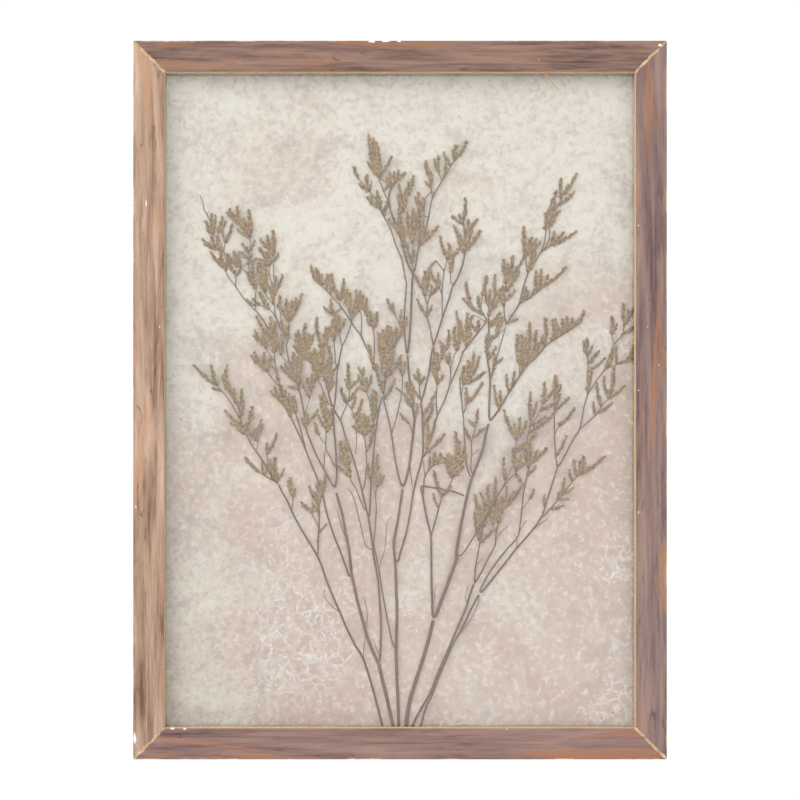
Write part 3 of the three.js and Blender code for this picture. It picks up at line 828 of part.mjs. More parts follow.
function addPanels() {
  const width = WIDTH - 2 * WALL - 2 * FIT;
  const height = HEIGHT - 2 * WALL - 2 * FIT;
  place('glass', box(width, GLASS, height, [0, GLASS_FRONT + GLASS / 2, 0]), 'glass');
  place('backing_card', box(width, CARD, height, [0, CARD_FRONT + CARD / 2, 0]), 'card');
  place('back_board', box(width, BOARD, height, [0, BOARD_FRONT + BOARD / 2, 0]), 'board');
}

function addSpacers() {
  const thickness = PLANT_SPACE - 2 * SEAT;
  const middle = SPACE_FRONT + PLANT_SPACE / 2;
  const x = WIDTH / 2 - WALL - FIT - SPACER_WIDTH / 2;
  const z = HEIGHT / 2 - WALL - FIT - SPACER_WIDTH / 2;
  const tall = 2 * z + SPACER_WIDTH;
  const wide = 2 * x - SPACER_WIDTH - 2 * FIT;
  place('spacer_left', box(SPACER_WIDTH, thickness, tall, [-x, middle, 0]), 'spacer');
  place('spacer_right', box(SPACER_WIDTH, thickness, tall, [x, middle, 0]), 'spacer');
  place('spacer_top', box(wide, thickness, SPACER_WIDTH, [0, middle, z]), 'spacer');
  place('spacer_bottom', box(wide, thickness, SPACER_WIDTH, [0, middle, -z]), 'spacer');
}

function addTabs() {
  const x = WIDTH / 2 - WALL + TAB.bite - TAB.length / 2;
  const y = TAB_FRONT + TAB.thickness / 2;
  for (const [side, word] of [[-1, 'left'], [1, 'right']]) {
    for (const [end, height_word] of [[1, 'upper'], [-1, 'lower']]) {
      const middle = [side * x, y, end * TAB.height];
      place(`tab_${word}_${height_word}`, box(TAB.length, TAB.thickness, TAB.width, middle), 'steel');
    }
  }
}

function hangerOutline() {
  const half = HANGER.length / 2;
  const shape = new THREE.Shape();
  const run = 2 * (HANGER.holeOffset - HANGER.earInset);
  const step = run / HANGER.teeth;
  shape.moveTo(-half, 0);
  shape.lineTo(-run / 2, 0);
  for (let i = 0; i < HANGER.teeth; i += 1) {
    const left = -run / 2 + i * step;
    shape.lineTo(left + step / 2, HANGER.tooth);
    shape.lineTo(left + step, 0);
  }
  shape.lineTo(half, 0);
  shape.lineTo(half, HANGER.height);
  shape.lineTo(-half, HANGER.height);
  shape.closePath();
  for (const x of [-HANGER.holeOffset, HANGER.holeOffset]) {
    const hole = new THREE.Path();
    hole.absarc(x, HANGER.height / 2, HANGER.hole, 0, 2 * Math.PI, true);
    shape.holes.push(hole);
  }
  return shape;
}

function addHanger() {
  const options = { depth: HANGER.thickness, bevelEnabled: false, curveSegments: HANGER.holeSegments };
  const plate = new THREE.ExtrudeGeometry(hangerOutline(), options);
  plate.rotateX(Math.PI / 2);
  plate.translate(0, RAIL_BACK + SEAT + HANGER.thickness, hangerHeight() - HANGER.height / 2);
  place('hanger', plate, 'steel');
  for (const [side, word] of [[-1, 'left'], [1, 'right']]) {
    place(`nail_${word}`, nailGeometry(side * HANGER.holeOffset), 'steel');
  }
}

// A flat-headed nail, its shank through the hanger plate and into the rail.
function nailGeometry(x) {
  const underHead = HANGER.thickness + 2 * SEAT;
  const profile = [
    new THREE.Vector2(0, -NAIL.length),
    new THREE.Vector2(NAIL.shank, -NAIL.length + NAIL.point),
    new THREE.Vector2(NAIL.shank, underHead),
    new THREE.Vector2(NAIL.head, underHead),
    new THREE.Vector2(NAIL.head, underHead + NAIL.headThickness),
    new THREE.Vector2(0, underHead + NAIL.headThickness),
  ];
  return new THREE.LatheGeometry(profile, NAIL.sides).translate(x, RAIL_BACK, hangerHeight());
}

function layerDepth(layer) {
  return CARD_FRONT - BACK_LAYER - layer * LAYER_PITCH;
}

// Drops the points of a route that lie nearly on the line of their neighbours.
function thinned(points) {
  if (points.length < 3) return points;
  const first = points[0];
  const last = points[points.length - 1];
  const line = new THREE.Line3(first, last);
  let worst = 0;
  let split = 0;
  const nearest = new THREE.Vector3();
  for (let i = 1; i < points.length - 1; i += 1) {
    line.closestPointToPoint(points[i], true, nearest);
    const off = nearest.distanceTo(points[i]);
    if (off > worst) {
      worst = off;
      split = i;
    }
  }
  if (worst < ROUTE_TOLERANCE) return [first, last];
  return [...thinned(points.slice(0, split + 1)).slice(0, -1), ...thinned(points.slice(split))];
}

function routePoints(route, depth) {
  const points = [];
  for (let i = 2; i < route.length; i += 2) {
    points.push(new THREE.Vector3(route[i], depth, route[i + 1]));
  }
  return points;
}

// The point on the given routes that lies nearest to a foot, so that nothing floats.
function rooted(foot, routes) {
  const line = new THREE.Line3();
  const near = new THREE.Vector3();
  const best = foot.clone();
  let least = Infinity;
  for (const route of routes) {
    for (let i = 1; i < route.length; i += 1) {
      line.set(route[i - 1], route[i]).closestPointToPoint(foot, true, near);
      const off = near.distanceTo(foot);
      if (off < least) {
        least = off;
        best.copy(near);
      }
    }
  }
  return best;
}

// Lays an upright unit form along a route in the plane of the glass: its height becomes the
// distance along the route, its x the width and its z the depth.
function bend(geometry, points, widthAt, thickness) {
  const position = geometry.attributes.position;
  const spans = points.length - 1;
  for (let i = 0; i < position.count; i += 1) {
    const share = (position.getY(i) + 0.5) * spans;
    const span = Math.min(Math.floor(share + NEAR_ZERO), spans - 1);
    const at = points[span].clone().lerp(points[span + 1], share - span);
    const knot = Math.round(share);
    const before = points[Math.max(knot - 1, 0)];
    const after = points[Math.min(knot + 1, spans)];
    const way = Math.abs(share - knot) < NEAR_ZERO
      ? after.clone().sub(before).normalize()
      : points[span + 1].clone().sub(points[span]).normalize();
    const wide = position.getX(i) * widthAt(share / spans);
    position.setXYZ(i, at.x - way.z * wide, at.y + position.getZ(i) * thickness, at.z + way.x * wide);
  }
  return geometry;
}

// Moves a foot a little way into what it grows from, back along its own direction.
function sunk(foot, ahead) {
  return foot.clone().addScaledVector(ahead.clone().sub(foot).normalize(), -ROOT_DEPTH);
}

function stemSolid([foot, tip], points) {
  const tube = new THREE.CylinderGeometry(0.5, 0.5, 1, STEM_SIDES, points.length - 1);
  const widthAt = (share) => OUTER_SHARE * (foot + (tip - foot) * share);
  return toManifold(bend(tube, points, widthAt, PRESSED));
}

// A flower spike as a flat spindle, slightly bowed away from the upright.
function spikeSolid(foot, tip, width) {
  const spindle = new THREE.SphereGeometry(0.5, SPIKE_SIDES, SPIKE_ROWS);
  const side = Math.sign(tip.x - foot.x) * SPIKE_BOW;
  const bowed = foot.clone().lerp(tip, 0.5);
  bowed.x += side * (tip.z - foot.z);
  bowed.z -= side * (tip.x - foot.x);
  const curve = new THREE.QuadraticBezierCurve3(foot, bowed, tip);
  return toManifold(bend(spindle, curve.getPoints(SPIKE_ROWS), () => width, PRESSED));
}

// The main body of a fused branch, without the slivers that a grazing join can leave.
function largest(solid) {
  const bodies = solid.decompose();
  bodies.sort((a, b) => b.volume() - a.volume());
  return bodies[0];
}

// One branch, pressed flat in its layer and fused where its own stems and spikes cross.
function branchGeometry(branch) {
  const depth = layerDepth(branch.layer);
  const solids = [];
  const routes = [];
  for (const stem of branch.stems.filter(([girth]) => girth >= LEAST_STEM)) {
    const points = routePoints(stem, depth);
    if (routes.length > 0) points[0] = sunk(rooted(points[0], routes), points[1]);
    const route = thinned(points);
    routes.push(route);
    solids.push(stemSolid(stem, route));
  }
  for (const [index, [x0, z0, x1, z1, width]] of branch.spikes.entries()) {
    if (width * Math.hypot(x1 - x0, z1 - z0) < LEAST_SPIKE) continue;
    const tip = new THREE.Vector3(x1, depth + SPIKE_STEP * ((index % 3) - 1), z1);
    const foot = sunk(rooted(new THREE.Vector3(x0, depth, z0), routes), tip);
    solids.push(spikeSolid(foot, tip, width));
  }
  return toGeometry(largest(wasm.Manifold.union(solids).simplify(SLIVER)));
}

addRails();
addPanels();
addSpacers();
addTabs();
addHanger();
for (const branch of BRANCHES) {
  place(`spray_${branch.name}`, branchGeometry(branch), 'plant');
}

export default root;
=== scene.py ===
"""The finish of a wall frame that holds dried caspia sprays, pressed behind glass on a card.

Metres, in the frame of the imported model: X to the right, Z up, the glass faces -Y.
The sprays' routes are in millimetres in the plane of the glass.
"""
import logging
import math
import random
from dataclasses import dataclass
from enum import Enum

import bpy
from mathutils import Matrix, Vector


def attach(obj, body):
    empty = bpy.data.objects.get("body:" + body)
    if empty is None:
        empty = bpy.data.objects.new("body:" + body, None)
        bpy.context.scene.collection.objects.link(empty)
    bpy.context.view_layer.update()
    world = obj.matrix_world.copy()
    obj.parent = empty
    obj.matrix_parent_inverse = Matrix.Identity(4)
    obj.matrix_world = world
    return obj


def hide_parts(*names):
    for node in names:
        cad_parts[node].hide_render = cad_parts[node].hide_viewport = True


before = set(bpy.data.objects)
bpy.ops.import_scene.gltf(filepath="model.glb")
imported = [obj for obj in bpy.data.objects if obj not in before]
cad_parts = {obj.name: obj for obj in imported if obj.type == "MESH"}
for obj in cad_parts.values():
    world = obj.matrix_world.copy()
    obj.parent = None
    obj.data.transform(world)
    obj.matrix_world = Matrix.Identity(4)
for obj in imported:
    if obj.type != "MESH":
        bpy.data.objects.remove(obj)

LOG = logging.getLogger("pressed_flower_frame")
MM = 0.001
OUTER_X, OUTER_Z = 0.150, 0.202
SIGHT_X, SIGHT_Z = 0.1322, 0.1842
FRONT_Y, BACK_Y = -0.01045, 0.00855
Colour = tuple[float, float, float]


def rgb(red: int, green: int, blue: int) -> Colour:
    """Turns an 8-bit display colour into a linear one.

    Args:
        red, green, blue: the display values, 0 to 255.

    Returns:
        The linear colour.
    """
    def one(value: int) -> float:
        """Linear value of one channel, by the standard display curve."""
        share = value / 255
        return share / 12.92 if share <= 0.04045 else ((share + 0.055) / 1.055) ** 2.4

    return one(red), one(green), one(blue)


class Side(Enum):
    """The four rails of the frame."""

    TOP = "rail_top"
    BOTTOM = "rail_bottom"
    LEFT = "rail_left"
    RIGHT = "rail_right"

    @property
    def upright(self) -> bool:
        """True where the grain runs up the frame."""
        return self in (Side.LEFT, Side.RIGHT)


@dataclass(frozen=True)
class Branch:
    """One branch of a pressed spray, cut from its neighbours at a main fork.

    stems holds (girth at the foot, girth at the tip, x, z, x, z, ...) and spikes holds
    (foot x, foot z, tip x, tip z, width), all in millimetres.
    """

    name: str
    layer: int
    stems: tuple
    spikes: tuple = ()


BRANCHES = (
    Branch("a_stem", 0,
           stems=(
        (1.3, 0.9, -9.2, -186.4, -9.6, -184.8, -14.2, -166.8, -20.2, -147.2, -25, -139, -30, -129,
          -34, -119.5, -38, -110.5, -41.5, -101.5, -45, -91.5, -49.3, -83.4, -54.6, -74.8,
          -60, -65, -63.3, -57.6, -66.6, -51.6, -68.6, -47.8),
        (0.5, 0.3, -34.2, -119.8, -37, -117.8, -40, -115, -42.3, -111.5, -42.7, -108.5,
          -42.3, -106.8),
        (0.5, 0.3, -20.3, -146.5, -20.2, -141, -19.5, -135.5, -18.7, -130, -18.2, -124,
          -18.6, -118, -19.7, -113, -21.3, -111.3),
        (0.7, 0.5, -61.5, -61.5, -60.8, -60.4, -60.4, -55.9, -60.7, -53),
           ),
           spikes=(
        (-60.6, -54.5, -63.2, -46.7, 1.6), (-60.5, -54.5, -62, -44.3, 2.4),
        (-60.3, -55, -59.3, -50.3, 1.6),
           )),
    Branch("a_inner", 0,
           stems=(
        (1.1, 0.7, -46.3, -87.1, -46.2, -82.6, -46, -77.3, -45.6, -71.5, -45.4, -64.1,
          -45.7, -60.8, -45.2, -57.6, -44.2, -54.7),
        (0.6, 0.4, -46, -71.5, -47.6, -68.2, -49.3, -64.9, -50.1, -63.3),
        (0.5, 0.4, -46.4, -80.5, -47.7, -78.8),
           ),
           spikes=(
        (-50, -63.4, -55.7, -58.1, 1.5), (-49.6, -64, -48.9, -59.4, 1.3),
        (-45.5, -63.3, -49.3, -58.7, 1.5), (-46.2, -59.4, -51.2, -49.5, 2.2),
        (-46, -58.5, -47.6, -52.5, 1.5), (-45.4, -74.8, -41.3, -70.2, 1),
        (-44.3, -54.7, -42, -43, 2), (-44.3, -54.7, -44.7, -46.3, 1.8),
        (-44.2, -54, -46.9, -47.8, 1.6),
           )),
    Branch("a_mid", 0,
           stems=(
        (0.9, 0.5, -69.6, -46.2, -72.7, -44.8, -77.3, -42, -79.7, -40.7),
        (0.8, 0.4, -72.3, -44.5, -74.2, -38.7, -74.8, -34.2, -75.2, -29.8),
           ),
           spikes=(
        (-79.5, -40.8, -87.4, -32.8, 1.8), (-77, -42, -77.9, -34.4, 1.5),
        (-76.5, -42.4, -74.5, -37, 1.8), (-72, -45, -73.4, -34.4, 2.4),
        (-70.2, -46, -70.8, -33.1, 2.6), (-69.5, -46.4, -65.6, -39.4, 1.3),
        (-68.2, -44.5, -68.8, -41.8, 1.2), (-75.2, -30, -75.3, -24.8, 1.5),
        (-75.1, -30.5, -69.8, -19.6, 1.7),
           )),
    Branch("a_top", 1,
           stems=(
        (1, 0.5, -69.5, -46.9, -71.3, -44.2, -75.4, -37.4, -79.7, -30.9, -83.8, -25, -87.1, -18.5,
          -89.8, -11.9, -92.9, -5.8, -96.5, 0, -99.6, 4.1, -104, 9.3),
        (0.7, 0.5, -90.4, -10, -90.8, -5, -93.3, 0, -95.7, 3.3, -98.2, 6.5),
        (0.5, 0.4, -84.6, -24, -83.8, -21, -82.8, -18.9),
        (0.5, 0.4, -81.2, -28.2, -80.5, -25, -80.2, -21.2),
           ),
           spikes=(
        (-103.8, 9, -116.3, 19.6, 1.8), (-102.9, 8.6, -106.8, 19.2, 2.4),
        (-100.7, 5.7, -105.4, 6.7, 1.4), (-98.2, 6, -98, 19.4, 2.2), (-98.8, 9, -100.4, 14.1, 1.3),
        (-94, 1, -96.6, 8.8, 2.4), (-92, -2.5, -94.1, 5.9, 2.4), (-90.8, -4.9, -89.2, 6.1, 1.6),
        (-89.4, -10, -88.3, -0.6, 1.8), (-86.5, -17, -83.3, -4.4, 2.8), (-86.5, -14, -83, -10, 1.8),
        (-89.5, -15.4, -98.4, -6.2, 2), (-90.2, -15.5, -95.5, -13.4, 1.2),
        (-88, -19.8, -91.3, -16.8, 1.2), (-83.4, -20.8, -86, -16.2, 1.5),
        (-82.8, -18.9, -78.1, -11.5, 1.5), (-80.2, -21.5, -77.8, -14, 1.5),
        (-80.4, -23.4, -82.5, -20.3, 1.6), (-80.1, -20.5, -80.9, -18.4, 1),
           )),
    Branch("b_stem", 0,
           stems=(
        (2.1, 1.9, -3.1, -186.4, -3.5, -184.8, -7.3, -168, -11.4, -151),
        (1.9, 1.4, -11.4, -151, -12, -149, -15, -142.5, -18.5, -133.5, -21, -124, -23.5, -115,
          -25.5, -106, -27.2, -98, -27.9, -90, -29, -82.6, -30.5, -75, -32, -66.2, -33.8, -59.5,
          -35.8, -52.4),
        (0.6, 0.4, -19.5, -130, -19.2, -125),
        (0.6, 0.4, -31, -76.5, -33, -71, -34.4, -65.5, -35.6, -62),
           ),
           spikes=(
           )),
    Branch("b_outer", 0,
           stems=(
        (1.2, 0.7, -28.6, -99.4, -29.6, -96.4, -31.6, -91, -34.1, -84.2, -37.8, -74.8,
          -41.5, -62.9, -43.5, -53.5, -46.4, -44.8, -51.3, -32.9, -54.2, -25.5, -58.3, -16.4,
          -62.3, -8, -66.6, -1.7, -69, 1.2),
        (0.9, 0.6, -53.6, -26.3, -55, -20.5, -57.5, -11.5, -58.9, -7.4, -59, -0.8, -59.5, 3.3),
           ),
           spikes=(
        (-68.5, 0.8, -72.9, 4.8, 2), (-67, -1, -70.8, 7.2, 2.6), (-64.8, -3.6, -67.4, 7.6, 3),
        (-63.4, -5.4, -65, 5, 2.6), (-62, -7.6, -62.8, 3, 2.4), (-61.2, -9, -61, 1.8, 2),
        (-59.3, -7.5, -60.8, 1.5, 2.6), (-58.6, -6.5, -58.8, -1, 2),
           )),
    Branch("b_far", 1,
           stems=(
        (0.8, 0.5, -66.4, 3.4, -67.7, 7.8, -69, 14.8, -70.1, 19.5, -70.8, 25, -71, 30, -72.4, 36),
        (0.7, 0.5, -67.7, 7.8, -70.3, 10.4, -72.3, 12.7, -74.2, 15.6, -76.8, 18),
        (0.6, 0.4, -70.7, 21.5, -71.9, 23.8, -73.8, 26.7, -75.6, 29.5, -77.9, 32.2),
        (0.6, 0.5, -72.4, 36, -75.8, 38.6),
           ),
           spikes=(
        (-76.5, 17.8, -83.6, 25, 2.2), (-77.5, 18.8, -82, 26.6, 2), (-75.6, 17.5, -77, 26, 2.6),
        (-74.3, 17, -72.7, 24.4, 2.4), (-69, 14.6, -71.7, 19, 1.4), (-68, 11, -70, 17.5, 1.2),
        (-72, 27, -72.7, 39.2, 3), (-70.9, 28, -69.8, 38, 2), (-77.3, 31.4, -82, 36, 1.8),
        (-78.5, 33.2, -81.9, 39.3, 1.8), (-76.5, 30.6, -77.4, 40, 2.4), (-75.4, 29.5, -75.4, 38, 2),
        (-75.4, 38.2, -81, 47.4, 2.4), (-73.5, 37.2, -72.8, 46.6, 2.6),
        (-72.4, 36.6, -70.3, 43.8, 2),
           )),
    Branch("b_far_left", 0,
           stems=(
        (0.8, 0.4, -74.6, 40.9, -75.6, 42.7, -77.4, 46, -81.4, 51, -84.2, 53.6, -87.9, 57.5,
          -93.1, 65.1, -97, 70.2, -98.6, 73.5, -100.2, 76),
        (0.7, 0.4, -93.1, 65.1, -92.9, 70.2, -95.7, 75.6, -97.8, 78.5, -99.7, 85, -102.7, 93.3,
          -103.3, 97),
        (0.5, 0.4, -99.6, 85, -99.2, 87.9, -98.6, 90.4),
        (0.5, 0.4, -102.7, 92, -104.5, 93.5, -106.2, 94.9),
        (0.6, 0.5, -99.7, 84.6, -102, 85.2, -104, 86),
        (0.6, 0.4, -106.6, 100.5, -108.5, 104.4, -111, 108.7, -111.2, 111.4, -112.7, 115,
          -112.7, 116.7),
        (0.4, 0.3, -109.4, 106.2, -107.8, 107.5),
           ),
           spikes=(
        (-99.8, 75.4, -106.8, 83.8, 1.8), (-99.9, 76, -101.6, 85.4, 3),
        (-98.4, 73.3, -97.8, 82.8, 2.2), (-93.6, 72.4, -97.5, 80.5, 2.2),
        (-92.8, 70.6, -90.1, 74.3, 1.4), (-98.9, 89.6, -94.9, 99.2, 2.4),
        (-99.4, 90, -100.6, 96.4, 1.8), (-103, 95.3, -100.2, 103.6, 2.4),
        (-102.3, 95, -98.7, 101, 1.8), (-106, 94.5, -106.6, 105.2, 2.4),
        (-105.5, 96, -104.1, 104.4, 1.8), (-106.2, 95, -109.8, 101.2, 1.3),
        (-105.4, 93.6, -109, 96.4, 1.6), (-103.4, 85.6, -110.2, 88.4, 1.8),
        (-103.6, 86, -111.5, 91.2, 2.2), (-103.4, 86, -106.8, 92.5, 2.4),
        (-102.4, 85.6, -103.5, 92.5, 2.4),
           )),
    Branch("b_far_mid", 1,
           stems=(
        (0.7, 0.5, -81.5, 52.2, -81.6, 55, -81.8, 59.2, -81.3, 63, -82.5, 68, -84.8, 72.5,
          -85.7, 79, -85.5, 81.7, -84.8, 85, -84.2, 88.3, -85, 91.7, -85.8, 95),
        (0.5, 0.4, -85, 73.4, -87.4, 73.2, -89.6, 75.2, -91.6, 76),
        (0.5, 0.4, -89.7, 75.8, -86.3, 77.3),
           ),
           spikes=(
        (-81.6, 63.3, -86, 72, 2.4), (-81.3, 64, -83.3, 76.6, 2.6), (-91.2, 75.9, -97.3, 82, 1.8),
        (-89.9, 75.4, -93.8, 83.6, 2.6), (-90, 75.6, -91, 83.2, 2), (-86.6, 77.2, -81.4, 79.8, 1.8),
        (-85.8, 78.3, -83.8, 82, 2), (-85.6, 80.6, -90.2, 84, 2.2), (-85.2, 84, -88.7, 88.2, 2.4),
        (-84.9, 85, -82.3, 89.8, 1.8), (-85.7, 94.4, -91.5, 100.9, 2),
        (-90.8, 99.6, -97.5, 106.2, 2), (-90.5, 99.6, -96.3, 107.6, 2),
        (-89.8, 98.8, -92.3, 109.2, 2.6), (-86.3, 95.4, -85.2, 107.3, 3),
        (-85.4, 92.6, -83.6, 99.6, 2.8), (-85.3, 92, -91.6, 96.6, 1.3),
        (-86.2, 95.4, -88.3, 102.7, 2),
           )),
    Branch("b_crown", 0,
           stems=(
        (0.8, 0.5, -66.2, 38.6, -68, 42.5, -69.6, 46.5, -70.6, 50, -71.1, 55, -73.6, 57.1,
          -75.6, 60, -78.9, 65.3),
        (0.6, 0.5, -69.9, 46.8, -71.7, 49.7, -74, 51.8, -76.8, 53.4, -79.3, 54.2, -82.6, 54),
        (0.7, 0.5, -71.1, 55, -71, 60, -70.9, 64.9, -71.5, 73.5, -71.5, 84),
        (0.5, 0.4, -71, 63, -73.2, 69, -73.8, 74.8, -72.4, 78.6),
        (0.5, 0.4, -67.4, 44.8, -67.8, 51, -69.3, 53),
           ),
           spikes=(
        (-78.2, 64, -80.5, 76.2, 2.6), (-77.9, 63, -78.6, 77.8, 2.8), (-76, 61, -75.8, 75, 2.6),
        (-73.5, 53, -79, 60.6, 3), (-82.4, 54, -86.6, 56.6, 1.8), (-79.3, 54, -82.8, 57.3, 2),
        (-71.5, 79.2, -68.8, 82.6, 1.8), (-71.4, 82, -71.4, 95.7, 3.2), (-72, 83.6, -78.6, 91, 2.4),
        (-71.8, 83.5, -75, 92.5, 2.6), (-72, 78.8, -79.3, 80, 2.2), (-72.8, 76.8, -79.4, 77.4, 2.4),
        (-73, 78, -79.2, 85.9, 2.6), (-72.4, 78, -75.5, 83.7, 2), (-70.6, 61.4, -66.3, 70.5, 2),
        (-70.8, 64, -69.9, 70.2, 1.2), (-70.8, 60, -74.5, 65, 2.6), (-70.8, 59.5, -72, 66, 2.6),
        (-69.2, 52.5, -67.5, 58.6, 2), (-70.4, 54.5, -72.5, 60, 2.6),
           )),
    Branch("b_right_fork", 1,
           stems=(
        (0.8, 0.6, -64.2, 31.6, -63.2, 34.5, -62.7, 40.7, -62.5, 44.8, -61.6, 46.5),
           ),
           spikes=(
        (-62, 45.6, -55.4, 59.6, 2.4), (-62.5, 45, -64.1, 56.5, 3), (-62.7, 44.5, -67.9, 54.4, 2.6),
        (-61.6, 46.5, -60.6, 55.7, 2.6), (-60.7, 48.6, -58.3, 57.3, 2),
        (-63.2, 34, -66.8, 44.6, 2.6), (-63.1, 35, -64, 41, 2.2),
           )),
    Branch("b_mid", 1,
           stems=(
        (1.2, 0.7, -37.2, -48.6, -39.4, -45.2, -43.9, -37, -46.8, -31.6, -50.1, -23.8,
          -53.2, -15.2, -54.2, -6.2, -55.8, 2, -57.3, 7, -59.2, 13, -61.5, 19, -63.2, 25, -64, 30.4),
        (0.6, 0.4, -54, -8.5, -52.1, -2.9, -50.1, 4.1, -47.6, 11.5, -46.6, 13.8),
        (0.6, 0.4, -61.8, 20.4, -65.4, 23.4, -67.4, 26.6, -69, 29.9),
           ),
           spikes=(
        (-53.6, -14.2, -46.4, -6, 2.4), (-53, -13.6, -52, -8, 2), (-53.4, -15.5, -55.3, -10.5, 1.8),
        (-58.5, 11, -55.3, 22.6, 2.4), (-59.3, 12, -57.4, 24.6, 2.6),
        (-60.9, 17.6, -59.8, 26.4, 2.6), (-58.6, 10.8, -66.9, 18.7, 2.2),
        (-59, 11.6, -64.9, 20.3, 2.4), (-57.3, 7.2, -55.7, 13.3, 2.2), (-57.2, 6.6, -62.6, 7.6, 1.8),
        (-49.8, 5.4, -52.5, 12, 2), (-49.2, 7, -49.6, 14.2, 2.2), (-48.2, 10, -46.5, 15.5, 2.2),
        (-51.2, 1.4, -54.4, 8.6, 1.4), (-66.6, 26, -66.5, 36.6, 2.4), (-68.4, 29, -69.4, 37, 2.2),
           )),
    Branch("b_tall", 1,
           stems=(
        (1.3, 0.9, -36.4, -48.6, -35.7, -44.4, -35.5, -40.3, -36.1, -29.6, -37, -17.3, -37.5, -9.1,
          -37.4, -4.9, -36.5, 0.4, -35.7, 9.8, -35.5, 14.8, -34.1, 23, -32.5, 31),
        (0.9, 0.5, -32.5, 31, -30.4, 34.9, -27.9, 41.9, -27.3, 45, -28.5, 50.9, -30.4, 56.3,
          -31.4, 58.3),
        (0.5, 0.4, -27.3, 45, -25.1, 48.9, -23.8, 50.5),
        (0.7, 0.5, -32.6, 31, -33.3, 34.5, -33.9, 37, -33.7, 39.5, -33.3, 41.5),
        (0.8, 0.6, -35, 18.6, -36.4, 22, -36.5, 27.1, -37, 32, -36.3, 36.5, -36, 41, -36.5, 46.8,
          -37.6, 49),
           ),
           spikes=(
        (-29.6, 54, -31.8, 63.5, 2.4), (-28.5, 51.5, -29.5, 62.3, 2.4), (-28.2, 50, -27.8, 60, 2),
        (-26.4, 47, -27, 52.4, 1.8), (-25.4, 48.4, -25.9, 53.6, 1.8),
        (-33.3, 40.7, -30.7, 45.4, 2.4), (-33.8, 38.5, -34.5, 47.5, 2.6),
        (-37.5, 48.6, -42.3, 52.3, 1.8), (-37.6, 48.8, -39, 57, 1.8), (-37.6, 49, -33.5, 51.5, 1.5),
        (-36.1, 40, -36.5, 47.5, 3), (-36.6, 36, -38, 45.4, 2.4), (-36.8, 33.6, -38.3, 42, 2),
           )),
    Branch("b_knee", 0,
           stems=(
        (0.8, 0.5, -37, -36.8, -39, -32.5, -41.7, -27.1, -41.6, -20.5, -41.5, -12.3, -41.9, -5,
          -42.5, 1),
        (0.5, 0.4, -41.9, -24.2, -43.9, -22.6, -45.6, -19.7, -48.6, -17.2),
        (0.5, 0.4, -42.9, -39, -42.5, -34.2, -42.5, -31.2, -41.9, -27.6),
           ),
           spikes=(
        (-45.9, -19.5, -47.8, -13.6, 2), (-41.9, -5, -43.3, 4.2, 2.5), (-42.2, -2, -45.4, 2.7, 2),
        (-41.5, -8.4, -44.3, -2.1, 3), (-41.5, -11.7, -37.9, -4.9, 2.4), (-41.5, -10, -41.5, -3, 3),
        (-41.6, -17.9, -37.8, -11.1, 2.4), (-41.6, -16, -41, -10, 2.5), (-41.6, -16, -46, -8.8, 2),
           )),
    Branch("b_up", 0,
           stems=(
        (1.3, 0.8, -11.2, -147, -11, -146.5, -10.5, -135, -10.5, -125, -11.3, -113, -12, -103,
          -13.3, -95, -14.5, -89, -15.8, -78, -17.5, -67, -18.6, -62.5, -21.4, -50.4, -23.8, -41.1,
          -26.7, -31.2, -30.8, -19.7, -33.3, -11.5, -36.5, -6.2, -39, -0.4, -41.1, 7.4, -41.9, 12.3),
        (0.4, 0.3, -11.2, -144.9, -12.8, -141.5, -13.6, -138.2),
        (0.6, 0.5, -38, -2.9, -40.2, -1.7, -42.7, 4.5, -46, 11.9, -50, 20.5, -52.6, 24.4,
          -51.2, 31.2, -50.1, 34.1),
        (0.7, 0.5, -42.3, 13.5, -44.2, 22, -45.2, 31.7, -45.8, 35.8),
        (0.6, 0.4, -15.4, -84.6, -18.1, -83.4, -19.7, -80.1, -21.6, -72.3, -23.4, -64.9,
          -25.7, -56.3, -27.9, -51, -29.7, -50.3),
        (0.6, 0.5, -18.6, -62.5, -19.9, -61.4, -22.2, -56.3, -25.1, -48.9, -27.4, -45.6,
          -27.6, -39.5, -28.6, -36.2),
        (0.7, 0.5, -33.3, -11.5, -33.1, -10, -31.2, -5.4, -29.6, -1.8, -28.7, 1.6, -28.3, 5.3,
          -27.9, 7.8),
        (0.5, 0.4, -29.6, -1.8, -27.1, -5, -25.9, -8.6, -24.9, -12, -24.7, -17, -24.2, -22.2,
          -24.4, -25.5, -24.9, -30.3),
        (0.8, 0.6, -21.4, -50.4, -20.6, -50.8, -19.3, -44.4, -18.6, -36.2, -19.1, -25.5,
          -20, -20.5, -21, -17.5),
           ),
           spikes=(
        (-41.8, 11.6, -43.2, 30.2, 3.4), (-41.8, 11.5, -48.2, 28.5, 3), (-41.5, 10, -38.6, 25, 3),
        (-40.6, 6.6, -37.5, 16.5, 2), (-40.2, 4.6, -37.3, 10.2, 1.2),
        (-41.6, 12.6, -34.6, 20.2, 1.8), (-41.6, 12.6, -39.5, 29.5, 3), (-47.2, 15, -49.5, 27, 3),
        (-45.6, 12, -46.5, 26, 3), (-51.2, 30, -48.5, 37.6, 1.8), (-51.4, 29, -51, 36.8, 2),
        (-52.3, 25.4, -53.8, 43, 2.6), (-52.5, 25, -59, 37.2, 2.6), (-52.5, 25.5, -57.4, 39.2, 2.4),
        (-52.4, 24.5, -59, 33.5, 2.4), (-51.9, 23.6, -60, 30.6, 2.4), (-51, 22, -53, 35.5, 3),
        (-45.4, 33, -47, 46.6, 2.4), (-45, 30, -41.5, 40.5, 2.8), (-44.6, 28, -39.8, 40.4, 2.4),
        (-44.2, 26, -40.6, 36, 2.4), (-28.4, -36, -33.6, -23.9, 3), (-28.4, -35.3, -30.4, -23.3, 4),
        (-28.4, -36.6, -33.8, -30.9, 2.2), (-28.4, -37.5, -33.9, -33.4, 2),
